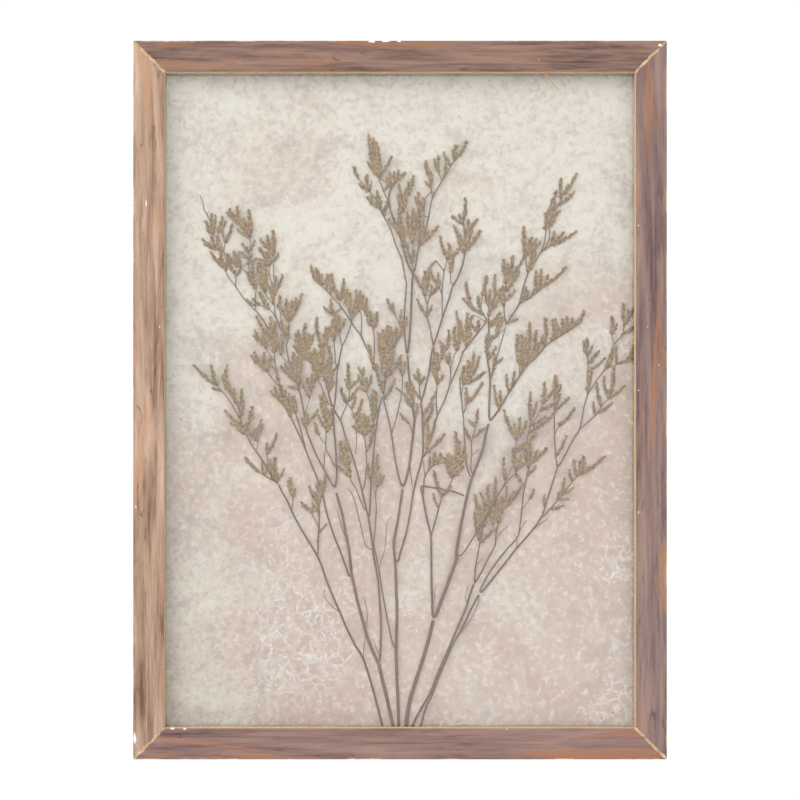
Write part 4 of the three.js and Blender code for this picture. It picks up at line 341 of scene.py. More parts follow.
        (-27.6, -43.4, -33.9, -38, 2), (-30.1, -41, -31, -35.8, 1.8), (-29.8, -1.6, -33.4, 6.3, 2.4),
        (-28.9, -0.8, -24.1, 6, 2.4), (-28.1, 6, -30.6, 11.7, 1.6), (-27.9, 7.4, -29.2, 20, 2.2),
        (-27.9, 7, -22.8, 12.9, 2), (-27.1, -5, -24.7, 1.8, 1.8), (-25.3, -10, -21, -0.3, 2.2),
        (-20.6, -19, -20.9, -8.2, 2), (-20.4, -19.4, -19.4, -8.6, 2.4), (-21, -17.9, -25.4, -8.4, 3),
        (-20.8, -18.4, -26.1, -15, 2), (-20.8, -18, -22.6, -8.3, 3), (-20.2, -19.5, -17.6, -10, 3),
        (-20, -20, -14.7, -14.2, 2.4), (-18.9, -29.6, -15, -18.7, 2.4),
           )),
    Branch("b_right", 1,
           stems=(
        (1.2, 0.8, -17.1, -65.2, -16.6, -58.8, -16, -45.7, -14.8, -32.1, -13.6, -19.3, -12.1, -7.4,
          -10.2, 0.5, -10, 2.2),
        (0.7, 0.5, -13.9, -22, -14.6, -13.2, -15.6, -5, -18.1, 3.3, -19.3, 5.3, -21.8, 10.7),
           ),
           spikes=(
        (-15.8, -43, -12.2, -31.4, 2.4), (-15.9, -43.6, -11.9, -37.6, 2),
        (-15.9, -44, -18.2, -36.4, 2), (-16, -46, -18.2, -40.5, 1.4), (-19.3, 5.5, -22.3, 7.1, 1.4),
        (-21.4, 9.8, -23, 13.7, 1.8), (-20.8, 8.6, -21, 16, 2), (-21, 15, -23.3, 18.5, 1),
        (-21, 15, -20.1, 18.2, 1), (-18.7, 5, -15.7, 13.8, 2), (-18.9, 5.3, -18.6, 12, 2),
        (-14.8, -9, -14.8, 4.7, 3), (-14.4, -12, -13.3, 4.4, 2.4), (-15.4, -6, -16, 2.5, 2),
           )),
    Branch("c_stem", 0,
           stems=(
        (1.9, 1.3, -0.5, -186.4, -0.8, -168.8, -1.8, -145, -1.3, -122, -1.6, -110, -2.3, -92,
          -3, -84, -2.9, -78.5, -0.8, -67.8, 0.5, -59.5, 1.8, -50.2),
           ),
           spikes=(
           )),
    Branch("c_side", 1,
           stems=(
        (1, 0.6, -3.2, -139.4, -6, -128, -9.5, -109.5, -11.8, -95, -13.6, -86.3, -14.5, -81,
          -13.7, -72, -13.1, -60.8, -13.6, -53.5, -12.3, -48.5),
        (0.5, 0.3, -11.6, -95.6, -9.9, -89.5, -8.2, -84.2, -7.2, -70.3, -6, -67.8, -4.2, -65.3),
        (0.4, 0.3, -13.5, -54, -14.8, -47.7, -14.9, -45),
           ),
           spikes=(
        (-12.4, -48.8, -8.8, -43.1, 1.8), (-12.5, -49.3, -13.3, -43.6, 1.5),
        (-12.3, -48.6, -10.9, -42.3, 1.8),
           )),
    Branch("c_left", 1,
           stems=(
        (1.1, 0.7, 1, -47.6, -0.8, -41.1, -2.5, -32.9, -4.7, -17.3, -6.6, -9, -8.6, -0.8, -9, 3.3,
          -8.4, 11, -9.4, 22),
        (0.8, 0.5, -8.8, 5, -7.4, 12.7, -5.1, 23.8, -3.3, 29.9, 0.8, 36.6, 2.9, 40),
        (0.5, 0.5, 1.6, 38, 0.4, 42.4, -2.9, 49.3, -4.5, 51.4),
        (0.8, 0.5, -4.4, -18.6, -2.1, -11.1, -0.2, -3.3, 1.3, 4.1, 1.7, 12.3, 1.3, 14.8, -0.4, 22.6),
           ),
           spikes=(
        (-9.2, 14, -10.2, 24, 3), (-9.2, 20, -11.9, 37.6, 3), (-9.2, 21, -9, 39.2, 3),
        (-6.4, 18, -6.8, 41.2, 3), (-5.2, 23, -4.8, 40.8, 2.6), (-8.6, 1, -2.6, 11.7, 2.4),
        (-7.4, 12.7, 0.1, 23.2, 2.4), (-6.4, 17, -3, 27.6, 2), (-3.2, 30, -1.7, 40.2, 2.4),
        (0.2, 35.6, 1.4, 44, 2.4), (2.6, 39.5, 4, 46.6, 1.8), (-3.5, 50.2, -6.9, 56.6, 2.2),
        (-2.7, 48.8, -3.7, 54.6, 1.6), (0, 43.6, 1.2, 50.8, 1.6), (-9, 4, -13, 20, 2.4),
        (1.2, 14, 3.6, 21, 2), (1.2, 15, 0.5, 25, 2), (1.2, 5, -1.2, 6.6, 1),
           )),
    Branch("c_arch", 0,
           stems=(
        (1, 0.5, -11.5, 10.9, -12.7, 14.3, -14.8, 22.1, -18.5, 29.9, -21.6, 36.6, -25.5, 41.9,
          -30.8, 50.1, -34.9, 55.5, -39, 60, -42.3, 63.7, -46.4, 67, -49.6, 70.8),
        (0.5, 0.4, -33.7, 54, -33.8, 58.5),
        (0.7, 0.5, -21.6, 36.6, -21.4, 46.8, -22.6, 51.8),
        (0.7, 0.4, -14.4, 20.4, -14.2, 32.5, -14.8, 39.9, -16.8, 44.4, -20.1, 50.5, -22.6, 54.6),
           ),
           spikes=(
        (-47.5, 68, -50.1, 75.9, 2), (-47, 67.4, -46.8, 74.2, 1.8), (-45.5, 66.3, -45.4, 72.6, 1.6),
        (-44.8, 65.8, -43.8, 71, 1.6), (-44, 65, -40.6, 71, 2), (-39.2, 60.2, -38.3, 71.4, 2.6),
        (-41.5, 63, -40, 70.5, 2), (-33.9, 57, -37.6, 66.2, 2.2), (-33.8, 57, -31.4, 68.2, 2.4),
        (-13.6, 17.4, -17.4, 30.6, 2.4), (-22.4, 50.5, -25.1, 56.5, 3), (-22.6, 54, -24.7, 62, 2),
        (-21.8, 53.4, -22.4, 61.4, 1.8), (-20.9, 51.8, -21, 59.3, 2.5),
        (-19.8, 50, -18.4, 57.6, 2.2), (-16.4, 43.8, -16.3, 50.2, 2),
        (-18.4, 47.4, -18.9, 53.4, 2.2), (-14.8, 40, -12.3, 49.4, 2.5),
        (-16, 42.4, -18.1, 45.4, 1.8),
           )),
    Branch("c_right", 0,
           stems=(
        (1.5, 1.1, 2.6, -48, 5.4, -38.3, 7, -26.3, 8.3, -15, 8.7, -11, 7.9, -6.6, 6.8, 2,
          5.8, 11.5, 4.6, 25.8),
        (0.6, 0.4, 7.7, -20, 6.6, -15.2, 5.4, -12.3),
        (0.7, 0.5, 5.8, -36, 6.6, -42.4, 7.4, -48.9),
           ),
           spikes=(
        (6.8, -4, 4.2, -0.6, 1.6), (7, -2, 2.5, 3.5, 2), (6.8, 2, 4, 9.2, 2.6),
        (7.4, -4, 7.8, 2.8, 2), (8.7, -10.6, 10.2, -2.7, 2.2), (6.6, 4, 6.8, 10.5, 2.6),
        (5.6, -12.8, 0.9, -8.2, 2),
           )),
    Branch("c_thin", 0,
           stems=(
        (0.9, 0.6, 4.1, 27.6, 2.8, 40.7, 3.1, 53, 4, 65.7, 3.3, 69.4, 1.5, 80.1, -1.9, 87.9,
          -4.5, 96.2, -8.2, 103.6, -11.1, 108.5, -12.7, 110.1),
        (0.7, 0.4, -9.3, 105.6, -11.5, 111.4, -16.4, 118.3, -21, 123.7, -23.8, 126.5),
        (0.6, 0.5, -14.6, 116, -16.6, 119, -15.5, 125),
           ),
           spikes=(
        (-12, 109.4, -18.3, 115.2, 2), (-13.2, 110.4, -16.4, 115.8, 1.6),
        (-23.4, 126, -25.9, 132.2, 2), (-17, 119, -22.2, 122.4, 2.2),
        (-17, 119.4, -18.8, 127.5, 2.2), (-11.6, 111.5, -12.8, 118.5, 2),
        (-10.5, 108.8, -11.4, 114.6, 2.2), (-8.8, 105.4, -6.3, 113.8, 2),
           )),
    Branch("c_high", 1,
           stems=(
        (1.4, 1, 4.9, 27.9, 6, 38.6, 6.8, 55.1, 7.3, 67.4, 7.6, 72, 5.4, 75.9, 3.7, 80.9,
          0.9, 91.5, -1.7, 100.7, -4.5, 106, -6, 115.1, -4.5, 120.4, -3.3, 122.4, -1, 125.2),
        (0.8, 0.6, -0.6, 97.4, 0.5, 105.2, 3.3, 114.2, 5, 116.7),
        (0.7, 0.5, -6, 113, -8.6, 117.5, -10.7, 123.7, -12.4, 127.4),
        (0.5, 0.4, -4.7, 120.2, -6.2, 122.8, -9.9, 125.3, -12.2, 127),
        (1, 0.7, 7.6, 72, 9.1, 75.6, 10.3, 83.8, 12.6, 91, 14.8, 96.6, 16.9, 105.6, 18.5, 114.2,
          21.4, 120, 26.7, 129, 30.4, 134.8, 34.6, 139.6),
        (0.6, 0.4, 29, 132.6, 27.6, 135.2, 26, 138),
        (0.6, 0.5, 24.2, 124.8, 22.6, 128.2, 21.7, 131),
        (0.7, 0.5, 18.9, 114.9, 17.7, 121.6, 16.1, 128.2),
        (0.8, 0.5, 16.6, 104.4, 14, 104.8, 14.2, 110.9, 15.2, 115.1, 18.1, 118.3, 19.9, 117.6),
        (0.6, 0.5, 13.6, 93, 14, 96.2, 13.8, 100.7, 14.1, 105),
        (0.6, 0.5, 8, 73.6, 7, 78.5, 7.4, 84.6, 8, 92),
        (0.9, 0.6, 10.8, 86, 11.5, 96.6, 12.2, 107.7, 11.5, 111),
           ),
           spikes=(
        (0, 95.5, -5.9, 102.3, 2), (-1.3, 98, -0.2, 115.7, 2.2), (0.2, 94.5, 0.8, 103.5, 2.6),
        (-1.3, 99.5, -3.8, 103.4, 1.6), (1.2, 91, 0.6, 99.5, 2.6), (2.2, 87, 2.4, 97.5, 2.6),
        (4.8, 116.4, 8.1, 126.4, 2.4), (4.8, 116.3, 5.3, 123, 1.6), (2.4, 111.4, -0.3, 122, 2),
        (3, 113.6, 4.2, 120, 2.4), (0.8, 106, 4.2, 114, 3), (-2, 124, 3.2, 128.8, 2.2),
        (-1, 125, -0.5, 130.2, 1.6), (-2.8, 122.8, -3.1, 129.2, 2), (-4, 121, -5.6, 128.4, 2.6),
        (-4.6, 120.4, -7.3, 126.2, 2), (-12.4, 127, -17.6, 149.8, 2.4),
        (-13.6, 133, -15, 147.7, 2.4), (-13.2, 132, -13.3, 145.9, 2),
        (-12.8, 129.6, -12, 143.2, 2.2), (-12.6, 128.6, -12.4, 138.8, 3),
        (-12.2, 127.6, -17.7, 134.6, 2.2), (-11.8, 127, -4.5, 137.6, 2.2),
        (-12, 127.6, -10.8, 136.8, 2.2), (-11.6, 126.4, -7.4, 131.8, 2),
        (-9.2, 118.6, -5.6, 123, 1.6), (34, 138.8, 38, 146.2, 2.4), (32.6, 137.4, 32, 143.8, 2.8),
        (31.4, 136, 30.5, 141.9, 2), (28.6, 133.4, 25.2, 140.1, 2), (25, 126.2, 26.4, 134.5, 2),
        (22.3, 129, 22.1, 137.9, 2.4), (22.2, 129, 19.8, 136.3, 1.8), (15.9, 128, 15, 135, 2.4),
        (17.6, 121.6, 18.2, 129.2, 2), (17.7, 120.4, 14.8, 123.7, 1.2), (12, 88.5, 21.8, 98.2, 2.6),
        (15, 91.4, 16, 94.8, 2), (7.1, 78, 3.9, 88.7, 2.2), (7.2, 79, 8.6, 84.8, 1.8),
        (7.6, 89, 4.3, 106.3, 2.4), (7.8, 90, 7.8, 107.8, 2.4), (7.9, 91, 9.2, 105.6, 2),
        (11.8, 109.6, 10.5, 117.5, 1.8), (12, 108.4, 8.8, 115, 1.4), (12.2, 107, 13.8, 114.2, 1.8),
        (11.6, 98, 11, 108.5, 3), (10.9, 88, 13.6, 98, 2.8),
           )),
    Branch("c_tall", 0,
           stems=(
        (1.2, 0.9, -0.7, -91, 0.5, -86.7, 3.7, -76, 6.2, -63.7, 8.1, -51.4, 10.7, -41.1,
          13.3, -31.2, 13.4, -19.3, 12.8, -4.9, 12.4, -1.3, 14.8, 7.4, 16.9, 16.4, 18.1, 25.8,
          19.3, 30.8, 21.8, 38.6, 24.7, 47.7, 27.6, 55.9, 30.2, 64.9),
        (0.8, 0.6, 12.6, -3, 11.6, 5, 11.3, 11.5),
        (1.1, 0.7, 30.2, 64.9, 33.3, 70.2, 36.6, 80.1, 37.4, 90, 36.6, 99.9, 36.2, 107.7),
        (0.9, 0.6, 19.3, 30.8, 18.7, 34.5, 17.1, 42.7, 15.7, 47.7, 15.9, 53.4, 14.8, 58.3,
          12.4, 64.9),
        (0.6, 0.5, 15.7, 54.5, 17.7, 59.6, 19.8, 62),
        (0.7, 0.5, 24.7, 47.7, 24.4, 49.4, 24.3, 60.4, 25.1, 71.5, 26.7, 78, 28, 80.5),
        (0.7, 0.6, 25.4, 73.6, 22.6, 77.2, 20.6, 79.7),
        (0.5, 0.5, 24.4, 60, 22.6, 64.6),
        (0.6, 0.5, 29.4, 66.9, 29, 72.3, 28, 79),
           ),
           spikes=(
        (12, 1, 6.3, 9.2, 2.2), (11.4, 10, 8.4, 14.3, 1.6), (11.3, 11, 10.4, 17.4, 1.8),
        (11.5, 9, 14.1, 12.9, 1.8), (13.2, -9, 20.6, 4.6, 2), (13.5, -15.5, 19.4, -2.7, 2.2),
        (36.4, 102, 37.7, 114.2, 2), (36.6, 99.9, 30.4, 104, 1.8), (36.4, 100.4, 34, 105, 1.5),
        (37.1, 94.8, 44, 102.4, 2.4), (37.2, 92, 39.4, 102.2, 1.8), (37.3, 88, 31.1, 98.7, 2.4),
        (36.9, 84.6, 45.6, 95.6, 2.6), (37, 83, 33.3, 91.8, 1.5), (37.2, 86, 41, 96, 2.4),
        (15.8, 47.6, 10.3, 57, 1.8), (15.8, 48.6, 18.5, 53.2, 1.6), (12.9, 63.6, 9.1, 70.5, 1.8),
        (13.8, 61, 13.6, 69, 2), (14.4, 59.6, 14.8, 72.6, 2.4), (14.4, 59.4, 17.3, 74.3, 2.6),
        (18.7, 60.4, 23.1, 66.2, 2), (17.4, 58.8, 18.4, 65, 1.6), (27.6, 80, 23.1, 92.7, 2.2),
        (28, 80, 28.4, 88.2, 3), (28, 80.2, 34.4, 86.6, 2.6), (21, 79.7, 17.4, 75.4, 1.8),
        (22.8, 64.4, 18, 72, 2.2), (22.6, 64.8, 22, 71.8, 2), (29.1, 72.6, 30.6, 80.7, 2.4),
           )),
    Branch("d_stem", 0,
           stems=(
        (2.4, 2, 3.8, -186.2, 5.8, -171.4, 9, -160.3, 13, -148, 16, -138, 18.5, -128, 19.3, -124.8),
           ),
           spikes=(
           )),
    Branch("d_left", 0,
           stems=(
        (1.4, 0.9, 19, -121.6, 18.5, -110, 18.2, -100, 18.1, -85.5, 17.7, -75.6, 15.2, -64.9,
          13.4, -54.7, 12.4, -48.9, 15.2, -48.7, 22.6, -50, 30, -51.4, 36.8, -53.9),
        (0.9, 0.6, 13.4, -54, 14.2, -44.4, 14.8, -42.4, 16.5, -39.9, 19.8, -36.6, 25.1, -35.2),
        (0.6, 0.4, 14.6, -43, 14, -38.3, 13.9, -34.2),
        (0.4, 0.3, 18.9, -116, 20.3, -112, 20.1, -108, 21.2, -105.2),
        (0.9, 0.6, 17.9, -77, 20.2, -69.1, 22.4, -60.8, 24.3, -54.7, 28, -49, 30.8, -42.5, 31.8, -33),
           ),
           spikes=(
        (16.9, -39.3, 17.4, -32.5, 1.5), (19.3, -36.8, 20.3, -30.2, 2.2),
        (21.5, -36, 23.7, -30.8, 2.4), (22.2, -60.8, 19.2, -53.8, 1.5), (24.2, -55, 19.9, -40.7, 2),
        (25, -53.8, 28.9, -49, 2.4), (30, -43.9, 25.8, -33.5, 3), (30.4, -43, 27.7, -31.5, 3),
        (31, -42.5, 29.6, -32, 3), (30.4, -43.4, 36, -37.7, 2.6), (31.6, -35, 32.3, -18.7, 2.6),
        (31.6, -36, 34.3, -24.2, 3), (31.4, -38, 37.2, -26.5, 3), (31.2, -38.5, 37.8, -31.6, 2.6),
           )),
    Branch("d_rise", 0,
           stems=(
        (0.9, 0.7, 14.4, -31.2, 16.9, -23.4, 20.6, -11.5, 21.8, -7.8, 25.5, 0, 28.4, 7.8,
          30.8, 13.5, 34.1, 21.3, 36, 27),
        (0.7, 0.5, 21.4, -8.4, 21, 0.4, 21.4, 9, 21.6, 14.8, 23, 21.3, 25.5, 27.1, 27.6, 29.5),
        (0.5, 0.4, 21.3, 8.4, 20.2, 12.7, 17.8, 18.2),
        (0.6, 0.5, 28.6, 8.6, 29.2, 17.6, 28.4, 20.1, 27.5, 22.8),
        (0.5, 0.4, 29, 16.8, 30.4, 23, 31.7, 26.7, 32.9, 28.7),
        (1, 0.6, 36, 27, 36.6, 28.4, 39.1, 31.2, 42.7, 36.2, 47.3, 41.9, 49.3, 45.4, 48.1, 48.5,
          46.4, 51.8, 45.2, 53.4),
        (0.5, 0.4, 48.2, 45.4, 46, 46.4, 44.4, 47.7, 41.5, 48.5),
        (0.5, 0.4, 46.2, 52, 46.8, 56, 47.2, 60.5),
        (0.5, 0.4, 44.6, 50.8, 40.6, 53.6),
           ),
           spikes=(
        (21.4, 9.4, 24.9, 14.1, 1.8), (21.4, 11.4, 18.3, 23.2, 2.4), (21.4, 13, 20, 23.2, 2.4),
        (22.3, 18.6, 19.2, 29.8, 2), (22.2, 17, 21.6, 26, 2.4), (24.2, 23.6, 24.4, 30.2, 2),
        (27.9, 21.2, 26.2, 25.3, 1.5), (28.1, 20.8, 28.7, 26.2, 1.5), (16.2, -25.6, 20.4, -11.6, 2),
        (14.8, -30, 25.4, -19.4, 2), (15.6, -27.6, 16.6, -17.5, 2.4), (15.8, -27, 16, -13, 2.2),
        (27, 28.6, 22.9, 33.3, 1.8), (27.4, 29.1, 28.3, 39.2, 2), (32.6, 28.1, 31.2, 41.1, 2.4),
        (33, 28.4, 34.2, 39, 3), (41.9, 48.5, 40.2, 45.4, 2), (44.8, 38.9, 40.6, 43.4, 2.4),
        (44.8, 39, 44.9, 44.7, 2), (38.4, 30.8, 32.4, 50.3, 2.2), (38.2, 30.8, 34.4, 44.6, 2.4),
        (38.8, 31.4, 38.5, 48.8, 2.6), (40, 32.6, 39.8, 44, 2.6), (45.4, 53, 44.6, 59, 1.6),
        (47.1, 59.6, 49.6, 70, 2.6), (47.8, 48.6, 36.3, 57.3, 2.2), (41.1, 53.4, 37.7, 66.8, 2),
           )),
    Branch("e_stem", 1,
           stems=(
        (2.2, 1.4, 20.3, -122, 24, -113, 28.5, -100.5, 32.3, -90.5, 32.2, -86.7, 34.1, -75.2,
          36.2, -64.1, 39.5, -49.3, 41.9, -41.8, 46.9, -28.8, 48.9, -19.8, 50.6, -13.1),
        (0.8, 0.6, 41.9, -41.8, 41.2, -40.8, 40.4, -38.5, 41, -30.9, 40.9, -23.4, 42.7, -16.4,
          42.7, -14),
        (0.5, 0.4, 41, -31.4, 43.4, -29, 44.6, -27.2),
           ),
           spikes=(
        (41, -23, 37, -16.2, 2.2), (42.6, -15, 39.5, -11.3, 1.8), (42.6, -14.6, 44.6, -5.6, 1.8),
        (41.6, -21, 48.2, -15.8, 2.2),
           )),
    Branch("e_branch", 0,
           stems=(
        (0.9, 0.6, 39.9, -42.3, 38.2, -36.2, 37.2, -25.5, 36.4, -10.3, 35.4, -0.8, 34.4, 9,
          34.4, 13.6),
        (0.7, 0.5, 36.4, -7, 37.4, -4.9, 38.4, -1.3),
        (0.6, 0.5, 35.2, 2, 36.2, 8.6, 39, 10),
           ),
           spikes=(
        (38.1, -2, 47.1, 9.4, 2.6), (37.8, -3, 38.1, 6.3, 2.2), (36.4, 9, 36.4, 18.8, 3),
        (38, 9.8, 39.5, 22, 3), (38, 9.6, 48.2, 15.6, 2.4), (37.6, 9.6, 42.4, 26, 3),
        (38.4, 9.9, 45.4, 24.4, 2.4),
           )),
    Branch("e_left", 0,
           stems=(
        (1.3, 0.7, 51.1, -9.6, 51.2, 1.2, 51.6, 12.3, 50.3, 21.7, 49.4, 30.5, 51, 34.5, 50.5, 46.8,
          51, 51, 50, 56, 48.7, 59.2),
        (0.9, 0.6, 51.7, 11, 53.8, 19.7, 57.1, 30.4, 60.4, 41.9),
        (0.6, 0.5, 49.4, 30.6, 54.2, 35.8, 59.2, 40.3),
           ),
           spikes=(
        (54, 20.2, 58.3, 23.6, 1.2), (52, 14, 54.4, 25, 1.4), (50.2, 23, 54.6, 29.8, 1.8),
        (50, 24, 49.7, 37.2, 2), (49.5, 29, 52.6, 36.5, 1.6), (53.4, 34.8, 58.4, 45, 3),
        (55.6, 37.2, 56.4, 45, 2.4), (50.8, 43.4, 57.2, 49.2, 2.2), (51, 42, 58, 46.6, 2),
        (50.9, 50, 55.9, 57, 3), (50.8, 48, 52.6, 55.3, 2.4), (50.2, 55, 48.3, 61.5, 2),
        (50.4, 53.4, 55.5, 61.3, 2.2), (50.4, 54, 51.5, 62.6, 1.8), (54.6, 59.4, 54.1, 70.5, 2.6),
        (55, 60.4, 58.8, 64.3, 1.8),
           )),
    Branch("e_right", 0,
           stems=(
        (1.2, 0.7, 52.2, -10.8, 57.1, -4.1, 61.9, 4.1, 67, 12, 72.5, 20, 78, 25, 83, 31, 88.5, 35,
          96, 39.5, 102.5, 44, 104.2, 46.5),
        (0.6, 0.5, 68.2, 13.9, 68.4, 21.5),
           ),
           spikes=(
        (56.6, -4.4, 53.7, 8, 1.8), (57.8, -2.4, 57.2, 5, 1.4), (62.4, 4.6, 60.7, 14, 1.8),
        (63.8, 7.6, 65.3, 15.2, 2.2), (68.3, 20, 67, 36.5, 3), (68.4, 20.5, 69.6, 36.5, 3),
        (69.2, 16.4, 72, 35.2, 3), (71, 18.4, 74, 43, 3), (74.6, 22, 77.8, 38.7, 3),
        (74.8, 22.4, 79, 32, 2.4), (76, 23.4, 81.5, 36.4, 2.4), (82.2, 30, 83.2, 46, 2.6),
        (87, 34.2, 87.4, 45.7, 2.4), (88.5, 35, 90.4, 41.5, 2), (92.2, 37.4, 88.4, 46.2, 1.3),
        (92.8, 37.8, 93, 45.3, 2.6), (95, 39, 95.2, 46.8, 2.6), (97.2, 40.2, 98.2, 46, 2),
        (97.5, 40.3, 105, 50.2, 2.2),
           )),
    Branch("e_upper", 0,
           stems=(
        (1.1, 0.7, 61, 43.8, 65, 50, 68.2, 55.5, 70, 63, 73.2, 72.7, 77, 78.5, 80.5, 84.5, 86, 88),
        (0.4, 0.3, 64.6, 49.6, 61.5, 47.5),
        (0.7, 0.5, 68, 54.8, 74.5, 58.5, 79.5, 62.5, 82.5, 65.6),
        (0.7, 0.5, 72.9, 72, 72, 78.5, 71.9, 84),
        (0.8, 0.6, 80.3, 84.1, 82.4, 90, 83.2, 97.5, 82.8, 102, 84.5, 108.5, 87, 113),
        (0.8, 0.5, 82.6, 86, 85.3, 93, 85.2, 100, 88.5, 107.5, 93.5, 117.5),
        (0.9, 0.5, 61, 43.8, 60.2, 45.4, 59.6, 49.3, 59.5, 54, 60.7, 68.5),
           ),
           spikes=(
        (61.4, 44.6, 66.4, 45.8, 1.6), (81.5, 64.6, 94.4, 75.1, 2.6), (79.4, 62.6, 80.6, 73.8, 2.8),
        (78.2, 61.4, 77.6, 73, 2), (82.2, 65.2, 84.5, 70.5, 2.4), (73.9, 58.2, 76.7, 62.7, 1.6),
        (72.3, 57.2, 73.2, 61.6, 1.4), (69.2, 55.4, 71.9, 64, 1.8), (71.8, 82, 70.4, 98.2, 2.6),
        (71.9, 83.4, 75.2, 91.7, 2.8), (72, 83, 77.6, 91.4, 2.4), (72, 82, 79.9, 89.8, 2.2),
        (73, 73, 75.6, 82.8, 2.6), (74.4, 74.4, 77.4, 85, 2), (86.2, 111.6, 89.2, 118.6, 2),
        (83.1, 97, 83.6, 106, 2.4), (83.2, 103.4, 87.2, 112, 2.6), (93.1, 117, 100.6, 128.5, 2.6),
        (91.8, 114.5, 91.7, 125.1, 2.6), (90, 110.4, 98.9, 117.8, 2.4),
        (86.9, 104, 91.1, 107.6, 1.4), (85.2, 98.4, 88.3, 103, 1.6), (86.2, 102, 88.5, 112, 2.4),
        (85.8, 88, 99.7, 95.3, 2.4), (85.5, 88, 88, 95, 2.6), (85.9, 88.2, 93, 95, 2),
        (60.7, 67.8, 59.1, 79.1, 2.8), (60.7, 66.4, 64.7, 81.3, 3), (60.7, 68, 61.8, 76.5, 2.4),
        (60.7, 67, 71.3, 82.5, 2.2), (60.4, 62, 67.6, 72.5, 2.4), (59.6, 56.4, 65.4, 62, 1.8),
        (59.5, 53.5, 56.8, 60.5, 2.2), (59.9, 58, 58.6, 64.2, 1.6),
           )),
    Branch("f_stem", 0,
           stems=(
        (1.3, 1.1, 6.5, -186.2, 11.6, -176, 17.5, -166.2, 21.5, -155.7, 28.5, -139.6, 33.6, -127.5,
          37.5, -118.5, 40, -110.5, 42.3, -104),
        (0.4, 0.3, 38.6, -115, 37.4, -112.3, 37.8, -110, 39.2, -104.6),
           ),
           spikes=(
           )),
    Branch("f_left", 0,
           stems=(
        (0.9, 0.7, 42.8, -102.2, 43.2, -95, 45.8, -80.5, 47, -73, 47.6, -69),
        (0.4, 0.3, 43.4, -94, 46, -90.8, 47, -89.8),
           ),
           spikes=(
        (45.8, -80.6, 52.2, -74.6, 2.2), (45.9, -79.5, 42.8, -64.3, 2.6), (46.3, -78, 46, -66.7, 3),
        (47.3, -70.7, 43, -54, 2.2), (47.4, -70, 45.6, -60.2, 2.8), (47.4, -71.5, 48.2, -59.8, 3),
        (46.9, -73.5, 50.2, -62, 2.6),
           )),
    Branch("f_right", 1,
           stems=(
        (1.1, 0.7, 43, -102.9, 46.5, -97.3, 50, -90, 54.2, -82.2, 54.9, -74.8, 57.3, -65.8, 59, -61),
        (0.6, 0.5, 54.9, -74.8, 52.4, -69.4, 51.5, -62),
        (0.5, 0.4, 54.7, -79, 58.3, -73.6, 62.1, -71),
           ),
           spikes=(
        (52.9, -70.5, 54.2, -59.8, 3), (52.2, -68.6, 50.6, -58, 3), (56.2, -69.5, 55.9, -57.8, 2.8),
        (51.6, -62.6, 50.1, -48.3, 2), (51.6, -63, 46.1, -53, 2.2), (51.8, -64, 54.2, -51.6, 3),
        (56.4, -68, 54.4, -44.2, 2.6), (57.6, -64.6, 58.5, -55.3, 2.4),
        (58.8, -61.6, 69.6, -48.6, 2.6), (58.6, -61.8, 60.9, -49.1, 1.8),
        (58.8, -61.4, 64.6, -52.3, 1.8),
           )),
    Branch("e_cross", 2,
           stems=(
        (0.9, 0.7, 34.8, -87.7, 37.4, -84.6, 42.3, -76.9, 46.9, -69.5, 51.4, -61.3, 57.1, -51.4,
          62, -44.8, 65.6, -41.3, 65.7, -38),
        (0.7, 0.5, 57.8, -50.4, 61.9, -41.5, 65.6, -33, 66.2, -21),
        (0.7, 0.5, 65.9, -29.5, 70.5, -26.5, 73, -19, 74.4, -10),
        (0.6, 0.5, 74, -14, 78.5, -8, 81.3, -1),
           ),
           spikes=(
        (65.7, -39.5, 64.4, -27.8, 3), (65.7, -39.4, 69, -31, 3), (65.6, -40, 70, -36, 2.4),
        (65.6, -41.2, 70, -47.4, 1.8), (60.2, -45.4, 58.8, -33.5, 2.4),
        (66.2, -21.6, 59.1, -6.3, 2.4), (66.2, -22, 68.3, -10.7, 2.6), (66.2, -22.4, 64.6, -14, 2),
        (66.2, -22.6, 71.9, -12.5, 2), (66, -27.6, 77.4, -19.3, 2.2), (73.2, -18.6, 88, -7.4, 2.4),
        (81.2, -2, 87.6, 5.8, 2.4), (81.2, -1.6, 82.2, 9.4, 2.4), (79.6, -6, 87, -2.4, 2.2),
        (74.4, -11, 74.2, 4, 2.6), (74.3, -12, 77.8, -1.8, 2), (74, -14.6, 82.2, -9.8, 2),
           )),
    Branch("g_stem", 1,
           stems=(
        (1.2, 1.1, 11.4, -186.2, 14.9, -174.7, 18.8, -166.2, 22.8, -155.5, 29.8, -139.6,
          35.9, -128.5, 40.5, -118.7, 45, -110),
        (0.5, 0.4, 33.1, -133.6, 36, -130, 41, -123.2, 44.5, -115.5, 45.1, -111),
           ),
           spikes=(
           )),
    Branch("g_left", 0,
           stems=(
        (0.9, 0.7, 45.8, -107.6, 50, -99.5, 54.5, -92.8, 61, -84.5, 67, -77.7, 68.5, -70.5,
          69.7, -60, 70.5, -52, 73.2, -40, 74.4, -34),
        (0.5, 0.4, 69.5, -62, 74.5, -55.5),
        (0.4, 0.3, 67.9, -74.4, 70, -71.5, 72.3, -67.8),
           ),
           spikes=(
        (74, -36, 83.4, -27.6, 2.6), (73.8, -37, 74.2, -24.3, 2.4), (73.5, -38.5, 71.6, -28, 3),
        (73.8, -36.4, 78.6, -28.8, 2.4), (72.7, -42.6, 77.3, -37.6, 1.6),
        (74.2, -56, 76.4, -51, 1.5),
           )),
    Branch("g_right", 0,
           stems=(
        (1.1, 0.8, 46.6, -108.6, 50.8, -103.8, 57, -96, 66.8, -83.6, 73.5, -76, 80.5, -66.5,
          85, -53, 89.2, -39.5, 89.7, -38),
        (0.5, 0.3, 66.6, -83.8, 66.7, -80, 65.2, -75),
        (0.7, 0.4, 76, -73, 83.9, -67),
